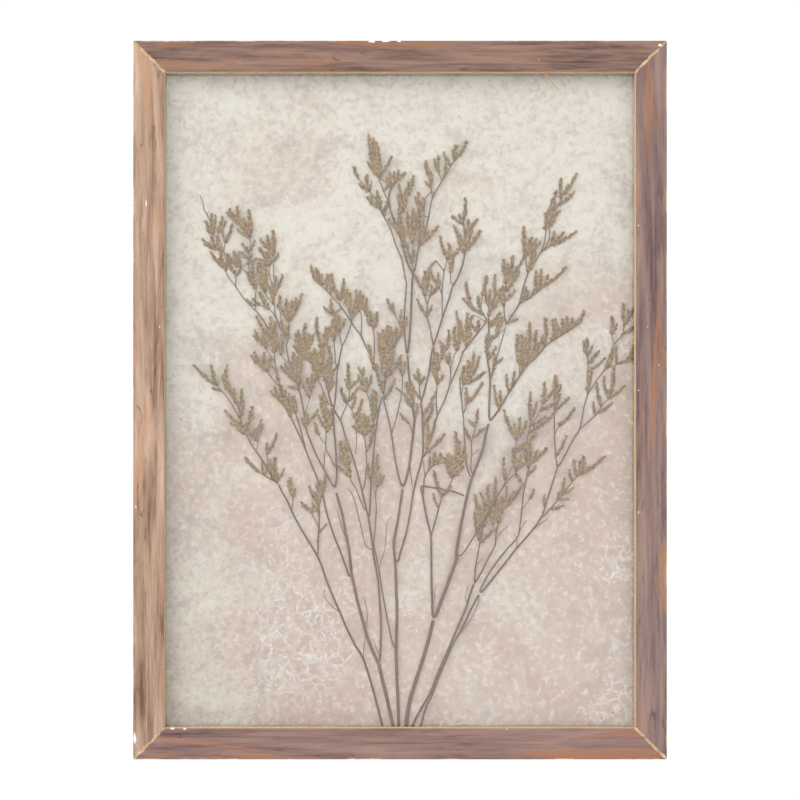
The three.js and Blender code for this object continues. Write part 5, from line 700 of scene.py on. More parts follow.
        (0.8, 0.5, 80.5, -66.5, 82, -65.4, 88, -58.7, 95, -50, 100.5, -43.5, 104, -41),
           ),
           spikes=(
        (82.7, -60.5, 82.1, -54.4, 1.3), (103, -41.5, 116.3, -32.3, 2.4),
        (103.4, -41.4, 105.1, -32.4, 2.6), (101, -43.2, 99, -34.2, 2.2),
        (102.2, -42.2, 102.5, -35, 2.2), (98.2, -46.2, 96.5, -39.8, 1.8),
        (91.6, -54.4, 93.9, -44.5, 1.4), (92.4, -53.4, 98.4, -49.8, 2.2),
        (90.2, -56.2, 95.4, -56, 1.8), (85.4, -61.9, 92.8, -59.9, 1.6), (90, -56.6, 91.5, -51.5, 2),
           )),
    Branch("g_mid", 0,
           stems=(
        (0.8, 0.6, 89.4, -36.6, 88.2, -23, 88, -4, 88.4, 2),
        (0.5, 0.4, 88.2, -19, 91.2, -13.8),
           ),
           spikes=(
        (88.3, 1, 88.7, 13.2, 3), (88.3, 1.4, 91.6, 8.4, 2.2), (88, -5.6, 95.9, 1.2, 1.8),
        (88.1, -4.5, 91, 3, 2), (90.8, -14.4, 99.3, -5, 2.2), (88.9, -31.4, 94.9, -20.5, 1.3),
           )),
    Branch("g_tall", 0,
           stems=(
        (0.9, 0.6, 90.6, -36.8, 94, -31, 99, -21.4, 102.6, -15.6, 105, -3, 106.9, 4, 106.7, 13,
          107.2, 22, 105.6, 28),
        (0.6, 0.5, 106.8, 3, 111, 10, 116, 17, 118.5, 23.5, 122.2, 32.5),
        (0.6, 0.5, 116, 17, 120.5, 19.4, 130.5, 23.4),
        (0.6, 0.5, 122.1, 32, 121, 35, 120.2, 39),
        (0.6, 0.5, 122, 32.1, 126.5, 37.5, 127.8, 45.5),
        (0.7, 0.5, 102.6, -15.6, 103.6, -15.2, 108.5, -11, 113, -6.5, 115.5, -2, 119.6, 1.6),
           ),
           spikes=(
        (106, 26.6, 106.5, 34.8, 2.4), (106.4, 25, 109.4, 30.5, 1.8), (106, 26.8, 104.5, 33, 2),
        (107, 21, 112.7, 27.2, 2.6), (106.9, 16.4, 116.3, 23.4, 1.8), (106.8, 5.6, 109, 18, 2.2),
        (124.5, 21, 134, 24.8, 2), (130.1, 23.2, 133, 30.8, 2), (123.6, 20.6, 123, 30.2, 1.8),
        (118.4, 18.5, 121.4, 29.4, 2.8), (120.3, 38, 121.1, 47.3, 2.2),
        (120.4, 37.4, 123.4, 43, 1.8), (127.7, 44, 127, 54.3, 2.4), (127.6, 43.4, 130.2, 50.8, 1.6),
        (127.4, 42, 132.8, 52, 2), (126.6, 37.4, 134, 42, 2), (119.3, 1.2, 127.6, 7.9, 2),
        (119.3, 1.2, 122, 18.8, 3.2), (118.8, 1, 115.9, 12.8, 1.8), (114.6, -3.4, 112, 9.2, 1.8),
        (112.4, -7, 120.4, -2, 2.2), (111.2, -8.4, 110, -1.3, 1.6),
           )),
)


class Graph:
    """A short way to add and link nodes in a material, a group or a geometry tree."""

    def __init__(self, tree: bpy.types.NodeTree) -> None:
        """Keeps the tree and empties it."""
        self.tree = tree
        tree.nodes.clear()

    def add(self, kind: str, **settings: object) -> bpy.types.Node:
        """Adds a node.

        Args:
            kind: the node's type name.
            settings: properties to set on it.

        Returns:
            The node.
        """
        node = self.tree.nodes.new(kind)
        for name, value in settings.items():
            setattr(node, name, value)
        return node

    def feed(self, socket: bpy.types.NodeSocket, value: object) -> None:
        """Links an output to a socket, or sets the socket's own value."""
        if isinstance(value, bpy.types.NodeSocket):
            self.tree.links.new(value, socket)
        elif value is not None:
            socket.default_value = value

    def math(self, operation: str, *values: object, clamp: bool = False) -> bpy.types.NodeSocket:
        """Adds a math node and returns its output."""
        node = self.add("ShaderNodeMath", operation=operation, use_clamp=clamp)
        for socket, value in zip(node.inputs, values):
            self.feed(socket, value)
        return node.outputs[0]

    def scaled(
        self, vector: object, x: float, y: float, z: float, shift: Colour = (0, 0, 0)
    ) -> bpy.types.NodeSocket:
        """Stretches and shifts a pattern's coordinates.

        Args:
            vector: the coordinates.
            x, y, z: the factors.
            shift: what is added after it.

        Returns:
            The new coordinates.
        """
        node = self.add("ShaderNodeVectorMath", operation="MULTIPLY_ADD")
        self.feed(node.inputs[0], vector)
        node.inputs[1].default_value = (x, y, z)
        node.inputs[2].default_value = shift
        return node.outputs[0]

    def noise(
        self,
        vector: object,
        scale: float = 1.0,
        detail: float = 4.0,
        rough: float = 0.55,
        warp: float = 0.0,
    ) -> bpy.types.NodeSocket:
        """Adds a noise texture.

        Args:
            vector: where it is read.
            scale, detail, rough, warp: the texture's own numbers.

        Returns:
            Its value.
        """
        node = self.add("ShaderNodeTexNoise")
        self.feed(node.inputs["Vector"], vector)
        node.inputs["Scale"].default_value = scale
        node.inputs["Detail"].default_value = detail
        node.inputs["Roughness"].default_value = rough
        node.inputs["Distortion"].default_value = warp
        return node.outputs[0]

    def ramp(self, value: object, stops: tuple) -> bpy.types.NodeSocket:
        """Turns a value into a colour.

        Args:
            value: the input, 0 to 1.
            stops: (place, colour) pairs in order.

        Returns:
            The colour output.
        """
        node = self.add("ShaderNodeValToRGB")
        points = node.color_ramp.elements
        while len(points) < len(stops):
            points.new(0.5)
        for point, (place, colour) in zip(points, stops):
            point.position = place
            point.color = (*colour, 1)
        self.feed(node.inputs[0], value)
        return node.outputs[0]

    def step(self, value: object, low: float, high: float) -> bpy.types.NodeSocket:
        """Rises from 0 at low to 1 at high, and falls if low is the larger."""
        node = self.add("ShaderNodeMapRange", interpolation_type="SMOOTHSTEP")
        self.feed(node.inputs[0], value)
        ends = (min(low, high), max(low, high), *((0, 1) if low < high else (1, 0)))
        for socket, end in zip(list(node.inputs)[1:], ends):
            socket.default_value = end
        return node.outputs[0]

    def mix(self, share: object, first: object, second: object) -> bpy.types.NodeSocket:
        """Mixes two colours and returns the result."""
        node = self.add("ShaderNodeMix", data_type="RGBA")
        self.feed(node.inputs[0], share)
        for socket, value in ((node.inputs[6], first), (node.inputs[7], second)):
            self.feed(socket, (*value, 1) if isinstance(value, tuple) else value)
        return node.outputs[2]

    def split(self, vector: object) -> tuple:
        """Splits a vector into its three parts."""
        node = self.add("ShaderNodeSeparateXYZ")
        self.feed(node.inputs[0], vector)
        return tuple(node.outputs)

    def place(self) -> bpy.types.NodeSocket:
        """Object coordinates, which are the model's own metres."""
        return self.add("ShaderNodeTexCoord").outputs["Object"]

    def group(self, made: bpy.types.NodeTree, **inputs: object) -> bpy.types.Node:
        """Places a shader group with its own values and returns the node."""
        node = self.add("ShaderNodeGroup", node_tree=made)
        for name, value in inputs.items():
            self.feed(node.inputs[name], value)
        return node

    def bump(self, height: object, distance: float, strength: float = 1.0) -> bpy.types.NodeSocket:
        """Adds a bump node over a height and returns the normal."""
        node = self.add("ShaderNodeBump")
        node.inputs["Strength"].default_value = strength
        node.inputs["Distance"].default_value = distance
        self.feed(node.inputs["Height"], height)
        return node.outputs[0]


def new_group(name: str, inputs: dict[str, str], outputs: dict[str, str]) -> tuple:
    """Makes an empty shader group with named sockets.

    Args:
        name: the group's name.
        inputs: socket name to its kind, such as NodeSocketFloat.
        outputs: the same for what it puts out.

    Returns:
        The group, its graph, its input sockets and its output sockets.
    """
    made = bpy.data.node_groups.new(name, "ShaderNodeTree")
    for label, kind in inputs.items():
        made.interface.new_socket(label, in_out="INPUT", socket_type=kind)
    for label, kind in outputs.items():
        made.interface.new_socket(label, in_out="OUTPUT", socket_type=kind)
    graph = Graph(made)
    return made, graph, graph.add("NodeGroupInput").outputs, graph.add("NodeGroupOutput").inputs


def new_material(name: str, **values: object) -> tuple:
    """Makes a material of one Principled shader.

    Args:
        name: the material's name.
        values: the shader's constant inputs, with spaces written as underscores.

    Returns:
        The material, its graph and the shader's node.
    """
    made = bpy.data.materials.new(name)
    made.use_nodes = True
    graph = Graph(made.node_tree)
    shader = graph.add("ShaderNodeBsdfPrincipled")
    out = graph.add("ShaderNodeOutputMaterial")
    graph.tree.links.new(shader.outputs[0], out.inputs[0])
    for label, value in values.items():
        shader.inputs[label.replace("_", " ")].default_value = value
    return made, graph, shader


class Effects:
    """Shader groups that several finishes share."""

    def __init__(self) -> None:
        """Builds each group once."""
        self.grain = self.make_grain()
        self.clouds = self.make_clouds()

    @staticmethod
    def make_grain() -> bpy.types.NodeTree:
        """Wood streaks along the vector's x, at three sizes."""
        made, g, given, out = new_group(
            "wood_grain",
            {"Vector": "NodeSocketVector"},
            dict.fromkeys(("Streaks", "Fibres", "Tint", "Knots"), "NodeSocketFloat"),
        )
        vector = given["Vector"]
        wide = g.noise(g.scaled(vector, 9, 95, 95), 1, 5, 0.6, 1.1)
        narrow = g.noise(g.scaled(vector, 24, 420, 420), 1, 5, 0.62, 0.5)
        fine = g.noise(g.scaled(vector, 150, 2300, 2300), 1, 2, 0.6)
        streaks = g.math("ADD", g.math("MULTIPLY", wide, 0.62), g.math("MULTIPLY", narrow, 0.38))
        g.feed(out["Streaks"], streaks)
        fibres = g.math("ADD", g.math("MULTIPLY", narrow, 0.45), g.math("MULTIPLY", fine, 0.55))
        g.feed(out["Fibres"], fibres)
        elsewhere, further = (3.1, 1.7, 4.2), (7.7, 2.3, 1.1)
        g.feed(out["Tint"], g.noise(g.scaled(vector, 6, 60, 60, elsewhere), 1, 4, 0.6, 1.6))
        knot = g.noise(g.scaled(vector, 34, 150, 150, further), 1, 3, 0.55, 2.2)
        g.feed(out["Knots"], g.step(knot, 0.62, 0.74))
        return made

    @staticmethod
    def make_clouds() -> bpy.types.NodeTree:
        """Soft clouds, blotches and small flakes for a plaster-like sheet."""
        made, g, given, out = new_group(
            "plaster_mottle",
            {"Vector": "NodeSocketVector"},
            dict.fromkeys(("Clouds", "Blotches", "Flakes", "Veins", "Speckle"), "NodeSocketFloat"),
        )
        vector = given["Vector"]

        def moved(x: float, y: float, z: float) -> bpy.types.NodeSocket:
            """The same coordinates at another place in the noise."""
            return g.scaled(vector, 1, 1, 1, (x, y, z))

        g.feed(out["Clouds"], g.noise(vector, 11, 5, 0.58, 0.6))
        g.feed(out["Blotches"], g.noise(moved(1.3, 0.4, 2.2), 34, 6, 0.66, 0.9))
        speckle = g.noise(moved(0.2, 0.9, 0.5), 330, 4, 0.7, 0.4)
        g.feed(out["Speckle"], speckle)
        region = g.step(g.noise(moved(0.7, 0.1, 0.3), 17, 3, 0.5), 0.5, 0.62)
        flake = g.step(g.noise(moved(2.7, 3.1, 0.8), 190, 5, 0.72, 1.4), 0.56, 0.63)
        g.feed(out["Flakes"], g.math("MULTIPLY", flake, region))
        bent = g.add("ShaderNodeVectorMath", operation="ADD")
        g.feed(bent.inputs[0], vector)
        push = g.add("ShaderNodeTexNoise")
        g.feed(push.inputs["Vector"], vector)
        push.inputs["Scale"].default_value = 70
        g.feed(bent.inputs[1], g.scaled(push.outputs[1], 0.016, 0.016, 0.016))
        cells = g.add("ShaderNodeTexVoronoi", feature="DISTANCE_TO_EDGE")
        g.feed(cells.inputs["Vector"], bent.outputs[0])
        cells.inputs["Scale"].default_value = 120
        line = g.step(cells.outputs["Distance"], 0.14, 0.02)
        broken = g.step(speckle, 0.42, 0.6)
        g.feed(out["Veins"], g.math("MULTIPLY", g.math("MULTIPLY", line, region), broken))
        return made


@dataclass(frozen=True)
class Foil:
    """Printed wood foil over fibreboard, for one rail."""

    side: Side
    dark: Colour
    middle: Colour
    light: Colour
    tint: Colour
    seed: float
    tint_from: float = 0.56
    worn: tuple = ()
    raw_dark: Colour = rgb(176, 138, 98)
    raw_pale: Colour = rgb(222, 196, 158)
    bare: Colour = rgb(232, 224, 212)

    def material(self, effects: Effects) -> bpy.types.Material:
        """Builds the foil with its worn edges, pale mitres and raw inner wall.

        Args:
            effects: the shared shader groups.

        Returns:
            The material.
        """
        name = f"foil_{self.side.value}"
        made, g, shader = new_material(name, Specular_IOR_Level=0.35)
        place = g.place()
        x, y, z = g.split(place)
        across, along = (x, z) if self.side.upright else (z, x)
        joined = g.add("ShaderNodeCombineXYZ")
        for socket, value in zip(joined.inputs, (along, across, y)):
            g.feed(socket, value)
        shifted = g.scaled(joined.outputs[0], 1, 1, 1, (self.seed, self.seed * 0.37, 0))
        grain = g.group(effects.grain, Vector=shifted).outputs
        fibres = grain["Fibres"]
        streaks = g.math("MULTIPLY", grain["Streaks"], 0.8)
        tone = g.math("ADD", streaks, g.math("MULTIPLY", fibres, 0.2))
        colour = g.ramp(tone, ((0.36, self.dark), (0.5, self.middle), (0.62, self.light)))
        tinted = g.step(grain["Tint"], self.tint_from, self.tint_from + 0.12)
        colour = g.mix(g.math("MULTIPLY", tinted, 0.7), colour, self.tint)
        colour = g.mix(g.math("MULTIPLY", grain["Knots"], 0.75), colour, self.dark)
        wear = self.wear(g, place, x, y, z)
        raw = g.ramp(g.noise(place, 900, 3, 0.7), ((0.35, self.raw_dark), (0.65, self.raw_pale)))
        colour = g.mix(wear, colour, raw)
        for spot in self.worn:
            colour = g.mix(chip(g, place, *spot), colour, self.bare)
        g.feed(shader.inputs["Base Color"], colour)
        weave = g.noise(g.scaled(place, 2400, 2400, 2400), 1, 1, 0.5)
        height = g.math("ADD", g.math("MULTIPLY", fibres, 0.7), g.math("MULTIPLY", weave, 0.3))
        height = g.math("SUBTRACT", height, g.math("MULTIPLY", wear, 0.5))
        g.feed(shader.inputs["Normal"], g.bump(height, 0.00035, 0.8))
        g.feed(shader.inputs["Roughness"], g.math("MULTIPLY_ADD", fibres, 0.2, 0.45))
        return made

    @staticmethod
    def wear(g: Graph, place: object, x: object, y: object, z: object) -> bpy.types.NodeSocket:
        """Where the foil is gone: outer edges, mitres, the inner wall and the back.

        Args:
            g: the material's graph.
            place: object coordinates.
            x, y, z: their three parts.

        Returns:
            The mask.
        """
        off_x, off_z = g.math("ABSOLUTE", x), g.math("ABSOLUTE", z)
        past_x, past_z = g.math("SUBTRACT", off_x, OUTER_X), g.math("SUBTRACT", off_z, OUTER_Z)
        ragged = g.noise(place, 260, 4, 0.7)
        patchy = g.step(g.noise(place, 45, 3, 0.6), 0.5, 0.66)
        edge = g.math("MAXIMUM", past_x, past_z)
        front = g.step(y, FRONT_Y + 1.6 * MM, FRONT_Y + 0.6 * MM)
        near_edge = g.math("MULTIPLY", g.step(edge, -1.1 * MM, -0.2 * MM), front)
        edge_wear = g.math("MULTIPLY", near_edge, patchy)
        mitre = g.math("ABSOLUTE", g.math("SUBTRACT", past_x, past_z))
        wander = g.math("MULTIPLY_ADD", ragged, 3.2 * MM, -0.9 * MM)
        mitre_wear = g.step(g.math("SUBTRACT", mitre, wander), 0.3 * MM, -0.1 * MM)
        in_x = g.step(off_x, SIGHT_X + 0.4 * MM, SIGHT_X + 0.2 * MM)
        in_z = g.step(off_z, SIGHT_Z + 0.4 * MM, SIGHT_Z + 0.2 * MM)
        behind = g.step(y, BACK_Y - 0.6 * MM, BACK_Y - 0.3 * MM)
        past_lip = g.step(y, FRONT_Y + 4.8 * MM, FRONT_Y + 5.2 * MM)
        hidden = g.math("MULTIPLY", past_lip, g.step(edge, -0.8 * MM, -1.2 * MM))
        mask = g.math("MAXIMUM", edge_wear, mitre_wear)
        for other in (g.math("MULTIPLY", in_x, in_z), behind, hidden):
            mask = g.math("MAXIMUM", mask, other, clamp=True)
        return mask


def chip(
    g: Graph, place: object, spot_x: float, spot_z: float, size: float, share: float = 1.0
) -> bpy.types.NodeSocket:
    """A ragged spot, such as a chip in the foil.

    Args:
        g: the material's graph.
        place: object coordinates.
        spot_x, spot_z: its middle in millimetres.
        size: its half width in millimetres.
        share: its height over its width.

    Returns:
        The mask.
    """
    x, _, z = g.split(place)
    wide = g.math("DIVIDE", g.math("SUBTRACT", x, spot_x * MM), size * MM)
    tall = g.math("DIVIDE", g.math("SUBTRACT", z, spot_z * MM), size * share * MM)
    squares = g.math("ADD", g.math("MULTIPLY", wide, wide), g.math("MULTIPLY", tall, tall))
    rough = g.math("MULTIPLY_ADD", g.noise(place, 1400, 2, 0.6), 1.6, -0.8)
    return g.step(g.math("ADD", g.math("SQRT", squares), rough), 0.8, 0.55)


FOILS = (
    Foil(
        Side.LEFT,
        dark=rgb(97, 67, 50),
        middle=rgb(154, 125, 105),
        light=rgb(180, 154, 135),
        tint=rgb(166, 125, 92),
        seed=1.3,
        tint_from=0.5,
        worn=(
            (-149, -190, 1.1, 3.5),
            (-142.6, 110.6, 0.35, 6),
            (-135, 41, 0.3, 2.5),
            (-148.4, -60, 0.3, 3),
        ),
    ),
    Foil(
        Side.TOP,
        dark=rgb(65, 44, 42),
        middle=rgb(122, 94, 82),
        light=rgb(141, 111, 95),
        tint=rgb(141, 97, 63),
        seed=4.9,
        tint_from=0.52,
        worn=(
            (-16, 201.4, 2.6, 0.35),
            (-8, 201.6, 3.2, 0.25),
            (-0.6, 201.5, 1.5, 0.4),
            (78, 191, 0.4, 0.8),
            (146, 199.4, 1.8, 0.5),
        ),
    ),
    Foil(
        Side.RIGHT,
        dark=rgb(78, 57, 56),
        middle=rgb(120, 98, 93),
        light=rgb(144, 118, 105),
        tint=rgb(155, 104, 70),
        seed=8.2,
        tint_from=0.54,
        worn=(
            (145.4, 19.7, 0.4, 1.4),
            (139.2, 41, 0.35, 1),
            (134, 5.5, 0.35, 2),
            (134, 98, 0.3, 2),
            (134, -63, 0.3, 3),
        ),
    ),
    Foil(
        Side.BOTTOM,
        dark=rgb(67, 44, 44),
        middle=rgb(122, 95, 89),
        light=rgb(142, 113, 101),
        tint=rgb(151, 100, 66),
        seed=2.6,
        tint_from=0.52,
        worn=(
            (-128, -184.6, 1.6, 0.4),
            (-121, -184.8, 1.2, 0.4),
            (60, -185, 0.8, 0.4),
        ),
    ),
)


@dataclass(frozen=True)
class MottledCard:
    """A matt card printed like old plaster, in cream and dusty pink."""

    cream: Colour = rgb(236, 227, 213)
    pink: Colour = rgb(217, 190, 175)
    shade: Colour = rgb(186, 166, 158)
    flake: Colour = rgb(240, 236, 229)
    lilac: Colour = rgb(198, 186, 186)
    blue: Colour = rgb(70, 78, 110)
    blue_spots: tuple = ((121.3, -177.4, 0.6, 0.9), (2.3, -114.3, 0.9, 0.35))

    def material(self, effects: Effects) -> bpy.types.Material:
        """Builds the card's finish.

        Args:
            effects: the shared shader groups.

        Returns:
            The material.
        """
        made, g, shader = new_material("mottled_card", Roughness=0.9, Specular_IOR_Level=0.2)
        place = g.place()
        x, _, z = g.split(place)
        mottle = g.group(effects.clouds, Vector=place).outputs
        # paler cream towards the top left, pinker and darker towards the bottom right
        pull = g.math("ADD", g.math("MULTIPLY", x, 0.35), g.math("MULTIPLY", z, -0.85))
        warm = g.math("ADD", mottle["Clouds"], pull)
        colour = g.ramp(warm, ((0.4, self.cream), (0.62, self.pink)))
        blotches, speckle = mottle["Blotches"], mottle["Speckle"]
        for mask, strength, tone in (
            (g.step(blotches, 0.5, 0.72), 0.55, self.shade),
            (g.step(blotches, 0.42, 0.3), 0.5, self.lilac),
            (g.step(speckle, 0.5, 0.62), 0.4, self.shade),
            (g.step(speckle, 0.47, 0.36), 0.6, self.flake),
            (mottle["Flakes"], 0.8, self.flake),
            (mottle["Veins"], 0.9, self.flake),
        ):
            colour = g.mix(g.math("MULTIPLY", mask, strength), colour, tone)
        for spot_x, spot_z, size, strength in self.blue_spots:
            mask = g.math("MULTIPLY", chip(g, place, spot_x, spot_z, size), strength)
            colour = g.mix(mask, colour, self.blue)
        g.feed(shader.inputs["Base Color"], colour)
        height = g.math("ADD", mottle["Veins"], mottle["Speckle"])
        g.feed(shader.inputs["Normal"], g.bump(height, 0.0001, 0.4))
        return made


@dataclass(frozen=True)
class DriedPlant:
    """Dry caspia: olive-brown buds with a painted shade at their foot and a pale tip that is partly
    the papery cup and partly a painted highlight; straw-brown stems.
    """

    stem: Colour = rgb(98, 66, 38)
    stem_pale: Colour = rgb(144, 110, 72)
    # painted shade at each bud's foot, and the darker tone that some buds have at random
    dark_and_foot_shade: Colour = rgb(80, 57, 32)
    body: Colour = rgb(138, 106, 62)
    # pale papery tip of each bud, brightened into a painted highlight
    tip: Colour = rgb(222, 194, 134)
    rust: Colour = rgb(176, 112, 66)
    plum: Colour = rgb(72, 58, 92)
    plum_share: float = 0.015

    def material(self, effects: Effects) -> bpy.types.Material:
        """Builds the plant's finish from the attributes that the spray's tree stores.

        Args:
            effects: the shared shader groups, which are not used here.

        Returns:
            The material.
        """
        made, g, shader = new_material("dried_plant", Roughness=0.85, Specular_IOR_Level=0.25)
        place = g.place()
        tip = g.add("ShaderNodeAttribute", attribute_name="tip").outputs["Fac"]
        tone = g.add("ShaderNodeAttribute", attribute_name="tone").outputs["Fac"]
        streak = g.noise(g.scaled(place, 1500, 1500, 260), 1, 4, 0.65)
        stem = g.ramp(streak, ((0.38, self.stem), (0.68, self.stem_pale)))
        # dark at each bud's foot is painted shade between buds; the pale tip is partly the papery cup
        # and partly a painted highlight
        bud = g.ramp(tip, ((0.05, self.dark_and_foot_shade), (0.45, self.body), (0.95, self.tip)))
        bud = g.mix(g.math("MULTIPLY", g.step(tone, 0.55, 0.95), 0.55), bud, self.rust)
        bud = g.mix(g.math("MULTIPLY", g.step(tone, 0.3, 0.0), 0.5), bud, self.dark_and_foot_shade)
        plum = g.math("GREATER_THAN", tone, 1 - self.plum_share)
        bud = g.mix(g.math("MULTIPLY", plum, 0.8), bud, self.plum)
        bud = g.mix(g.math("MULTIPLY", g.noise(place, 1900, 2, 0.6), 0.35), bud, self.dark_and_foot_shade)
        colour = g.mix(g.step(tip, 0.0, 0.04), stem, bud)
        g.feed(shader.inputs["Base Color"], colour)
        g.feed(shader.inputs["Normal"], g.bump(streak, 0.0002, 0.5))
        return made


@dataclass(frozen=True)
class PlainBoard:
    """A fibrous board: hardboard behind the card, or pale spacer strip."""

    name: str
    low: Colour
    high: Colour
    rough: float = 0.8

    def material(self, effects: Effects) -> bpy.types.Material:
        """Builds the board's finish.

        Args:
            effects: the shared shader groups.

        Returns:
            The material.
        """
        made, g, shader = new_material(self.name, Roughness=self.rough, Specular_IOR_Level=0.3)
        place = g.place()
        fibres = g.noise(g.scaled(place, 900, 900, 900), 1, 4, 0.7, 0.8)
        clouds = g.group(effects.clouds, Vector=place).outputs["Clouds"]
        tone = g.math("ADD", g.math("MULTIPLY", fibres, 0.6), g.math("MULTIPLY", clouds, 0.4))
        g.feed(shader.inputs["Base Color"], g.ramp(tone, ((0.38, self.low), (0.62, self.high))))
        g.feed(shader.inputs["Normal"], g.bump(fibres, 0.0002, 0.5))
        return made


@dataclass(frozen=True)
class ZincSteel:
    """Thin plated steel with fine rolling lines."""

    colour: Colour = rgb(196, 196, 192)
    dull: Colour = rgb(150, 146, 138)

    def material(self, effects: Effects) -> bpy.types.Material:
        """Builds the steel's finish.

        Args:
            effects: the shared shader groups.

        Returns:
            The material.
        """
        made, g, shader = new_material("zinc_steel", Metallic=1.0, Roughness=0.35)
        place = g.place()
        lines = g.noise(g.scaled(place, 300, 3000, 4200), 1, 3, 0.6)
        stains = g.group(effects.clouds, Vector=g.scaled(place, 5, 5, 5)).outputs["Blotches"]
        colour = g.mix(g.step(stains, 0.5, 0.75), self.colour, self.dull)
        g.feed(shader.inputs["Base Color"], colour)
        g.feed(shader.inputs["Roughness"], g.math("MULTIPLY_ADD", lines, 0.3, 0.2))
        g.feed(shader.inputs["Normal"], g.bump(lines, 0.00005, 0.4))
        return made


@dataclass(frozen=True)
class ClearGlass:
    """A plain clear pane."""

    tint: Colour = (0.985, 0.995, 0.99)

    def material(self) -> bpy.types.Material:
        """Builds the glass."""
        made, _, shader = new_material(
            "clear_glass", Roughness=0.0, IOR=1.5, Transmission_Weight=1.0
        )
        shader.inputs["Base Color"].default_value = (*self.tint, 1)
        return made


@dataclass
class SprayMaker:
    """Lays stems and flower spikes along the traced routes and turns them into plain meshes."""

    finish: bpy.types.Material
    spans: list
    stem_sides: int = 7
    flatness: float = 0.72
    spacing: float = 1.0 * MM
    bud_length: float = 2.4 * MM
    bud_width: float = 1.4 * MM
    bud_sides: int = 5
    card_front: float = 1.6 * MM
    card_gap: float = 0.05 * MM
    back_layer: float = 0.75 * MM
    layer_pitch: float = 1.2 * MM
    bow: float = 0.1
    spike_steps: int = 6
    twist: float = 0.35 * MM
    wave_length: float = 9.0
    stem_reach: float = 5.0
    spike_reach: float = 3.0
    rows: tuple = ((0.35, 1.15, 1.0), (-0.25, 0.45, 0.95), (-0.9, -0.1, 0.8))

    def __post_init__(self) -> None:
        """Makes the bud and the tree once."""
        self.bud = self.make_bud()
        self.tree = self.make_tree()

    def make_bud(self) -> bpy.types.Object:
        """A bud of unit length along Z: a narrow foot, a full body and an open pointed cup.

        Returns:
            The bud, which is only used as an instance.
        """
        rings = ((0.0, 0.12), (0.28, 0.42), (0.62, 0.5), (0.86, 0.36))
        sides, foot_tip = self.bud_sides, 0.05
        points, tips = [(0, 0, -0.04)], [foot_tip]
        for ring, (height, radius) in enumerate(rings):
            for i in range(sides):
                turn = math.tau * (i + 0.5 * (ring % 2)) / sides
                points.append((radius * math.cos(turn), radius * math.sin(turn), height))
                tips.append(max(height, foot_tip + 0.01))
        points.append((0, 0, 1.04))
        tips.append(1.0)
        faces = [(0, 1 + (i + 1) % sides, 1 + i) for i in range(sides)]
        for ring in range(len(rings) - 1):
            low, high = 1 + ring * sides, 1 + (ring + 1) * sides
            lead = 1 if ring % 2 else 0
            for i in range(sides):
                j = (i + 1) % sides
                if lead:
                    faces += [(low + i, low + j, high + j), (low + i, high + j, high + i)]
                else:
                    faces += [(low + i, low + j, high + i), (low + j, high + j, high + i)]
        last = 1 + (len(rings) - 1) * sides
        faces += [(last + i, last + (i + 1) % sides, len(points) - 1) for i in range(sides)]
        mesh = bpy.data.meshes.new("bud")
        mesh.from_pydata(points, [], faces)
        mesh.attributes.new("tip", "FLOAT", "POINT").data.foreach_set("value", tips)
        return bpy.data.objects.new("bud", mesh)

    def make_tree(self) -> bpy.types.NodeTree:
        """Builds the tree that turns a skeleton of routes into stems and rows of buds.

        Returns:
            The geometry tree.
        """
        tree = bpy.data.node_groups.new("pressed_spray", "GeometryNodeTree")
        face = tree.interface
        face.new_socket("Skeleton", in_out="INPUT", socket_type="NodeSocketGeometry")
        for label, kind in (
            ("Spacing", "Float"),
            ("Flatness", "Float"),
            ("Depth", "Float"),
            ("Bud length", "Float"),
            ("Bud width", "Float"),
            ("Seed", "Int"),
            ("Stem sides", "Int"),
            ("Bud", "Object"),
            ("Finish", "Material"),
        ):
            face.new_socket(label, in_out="INPUT", socket_type=f"NodeSocket{kind}")
        face.new_socket("Spray", in_out="OUTPUT", socket_type="NodeSocketGeometry")
        g = Graph(tree)
        given = g.add("NodeGroupInput").outputs
        lines = g.add("GeometryNodeMeshToCurve")
        g.feed(lines.inputs["Mesh"], given["Skeleton"])
        parts = g.add("GeometryNodeSeparateGeometry", domain="CURVE")
        g.feed(parts.inputs[0], lines.outputs[0])
        g.feed(parts.inputs[1], self.named(g, "floret"))
        whole = g.add("GeometryNodeJoinGeometry")
        g.tree.links.new(self.stems(g, given, lines.outputs[0]), whole.inputs[0])
        for row, (low, high, size) in enumerate(self.rows):
            made = self.buds(g, given, parts.outputs[0], row, low, high, size)
            g.tree.links.new(made, whole.inputs[0])
        real = g.add("GeometryNodeRealizeInstances")
        g.feed(real.inputs[0], whole.outputs[0])
        pressed = self.pressed(g, given, real.outputs[0])
        dressed = g.add("GeometryNodeSetMaterial")
        g.feed(dressed.inputs["Geometry"], pressed)
        g.feed(dressed.inputs["Material"], given["Finish"])
        g.feed(g.add("NodeGroupOutput").inputs[0], dressed.outputs[0])
        return tree

    @staticmethod
    def named(g: Graph, name: str) -> bpy.types.NodeSocket:
        """Reads a stored number."""
        node = g.add("GeometryNodeInputNamedAttribute", data_type="FLOAT")
        node.inputs[0].default_value = name
        return node.outputs[0]

    @staticmethod
    def varied(g: Graph, low: float, high: float, seed: object) -> bpy.types.NodeSocket:
        """A random number for each point."""
        node = g.add("FunctionNodeRandomValue", data_type="FLOAT")
        node.inputs[2].default_value = low
        node.inputs[3].default_value = high
        g.feed(node.inputs["Seed"], seed)
        return node.outputs[1]

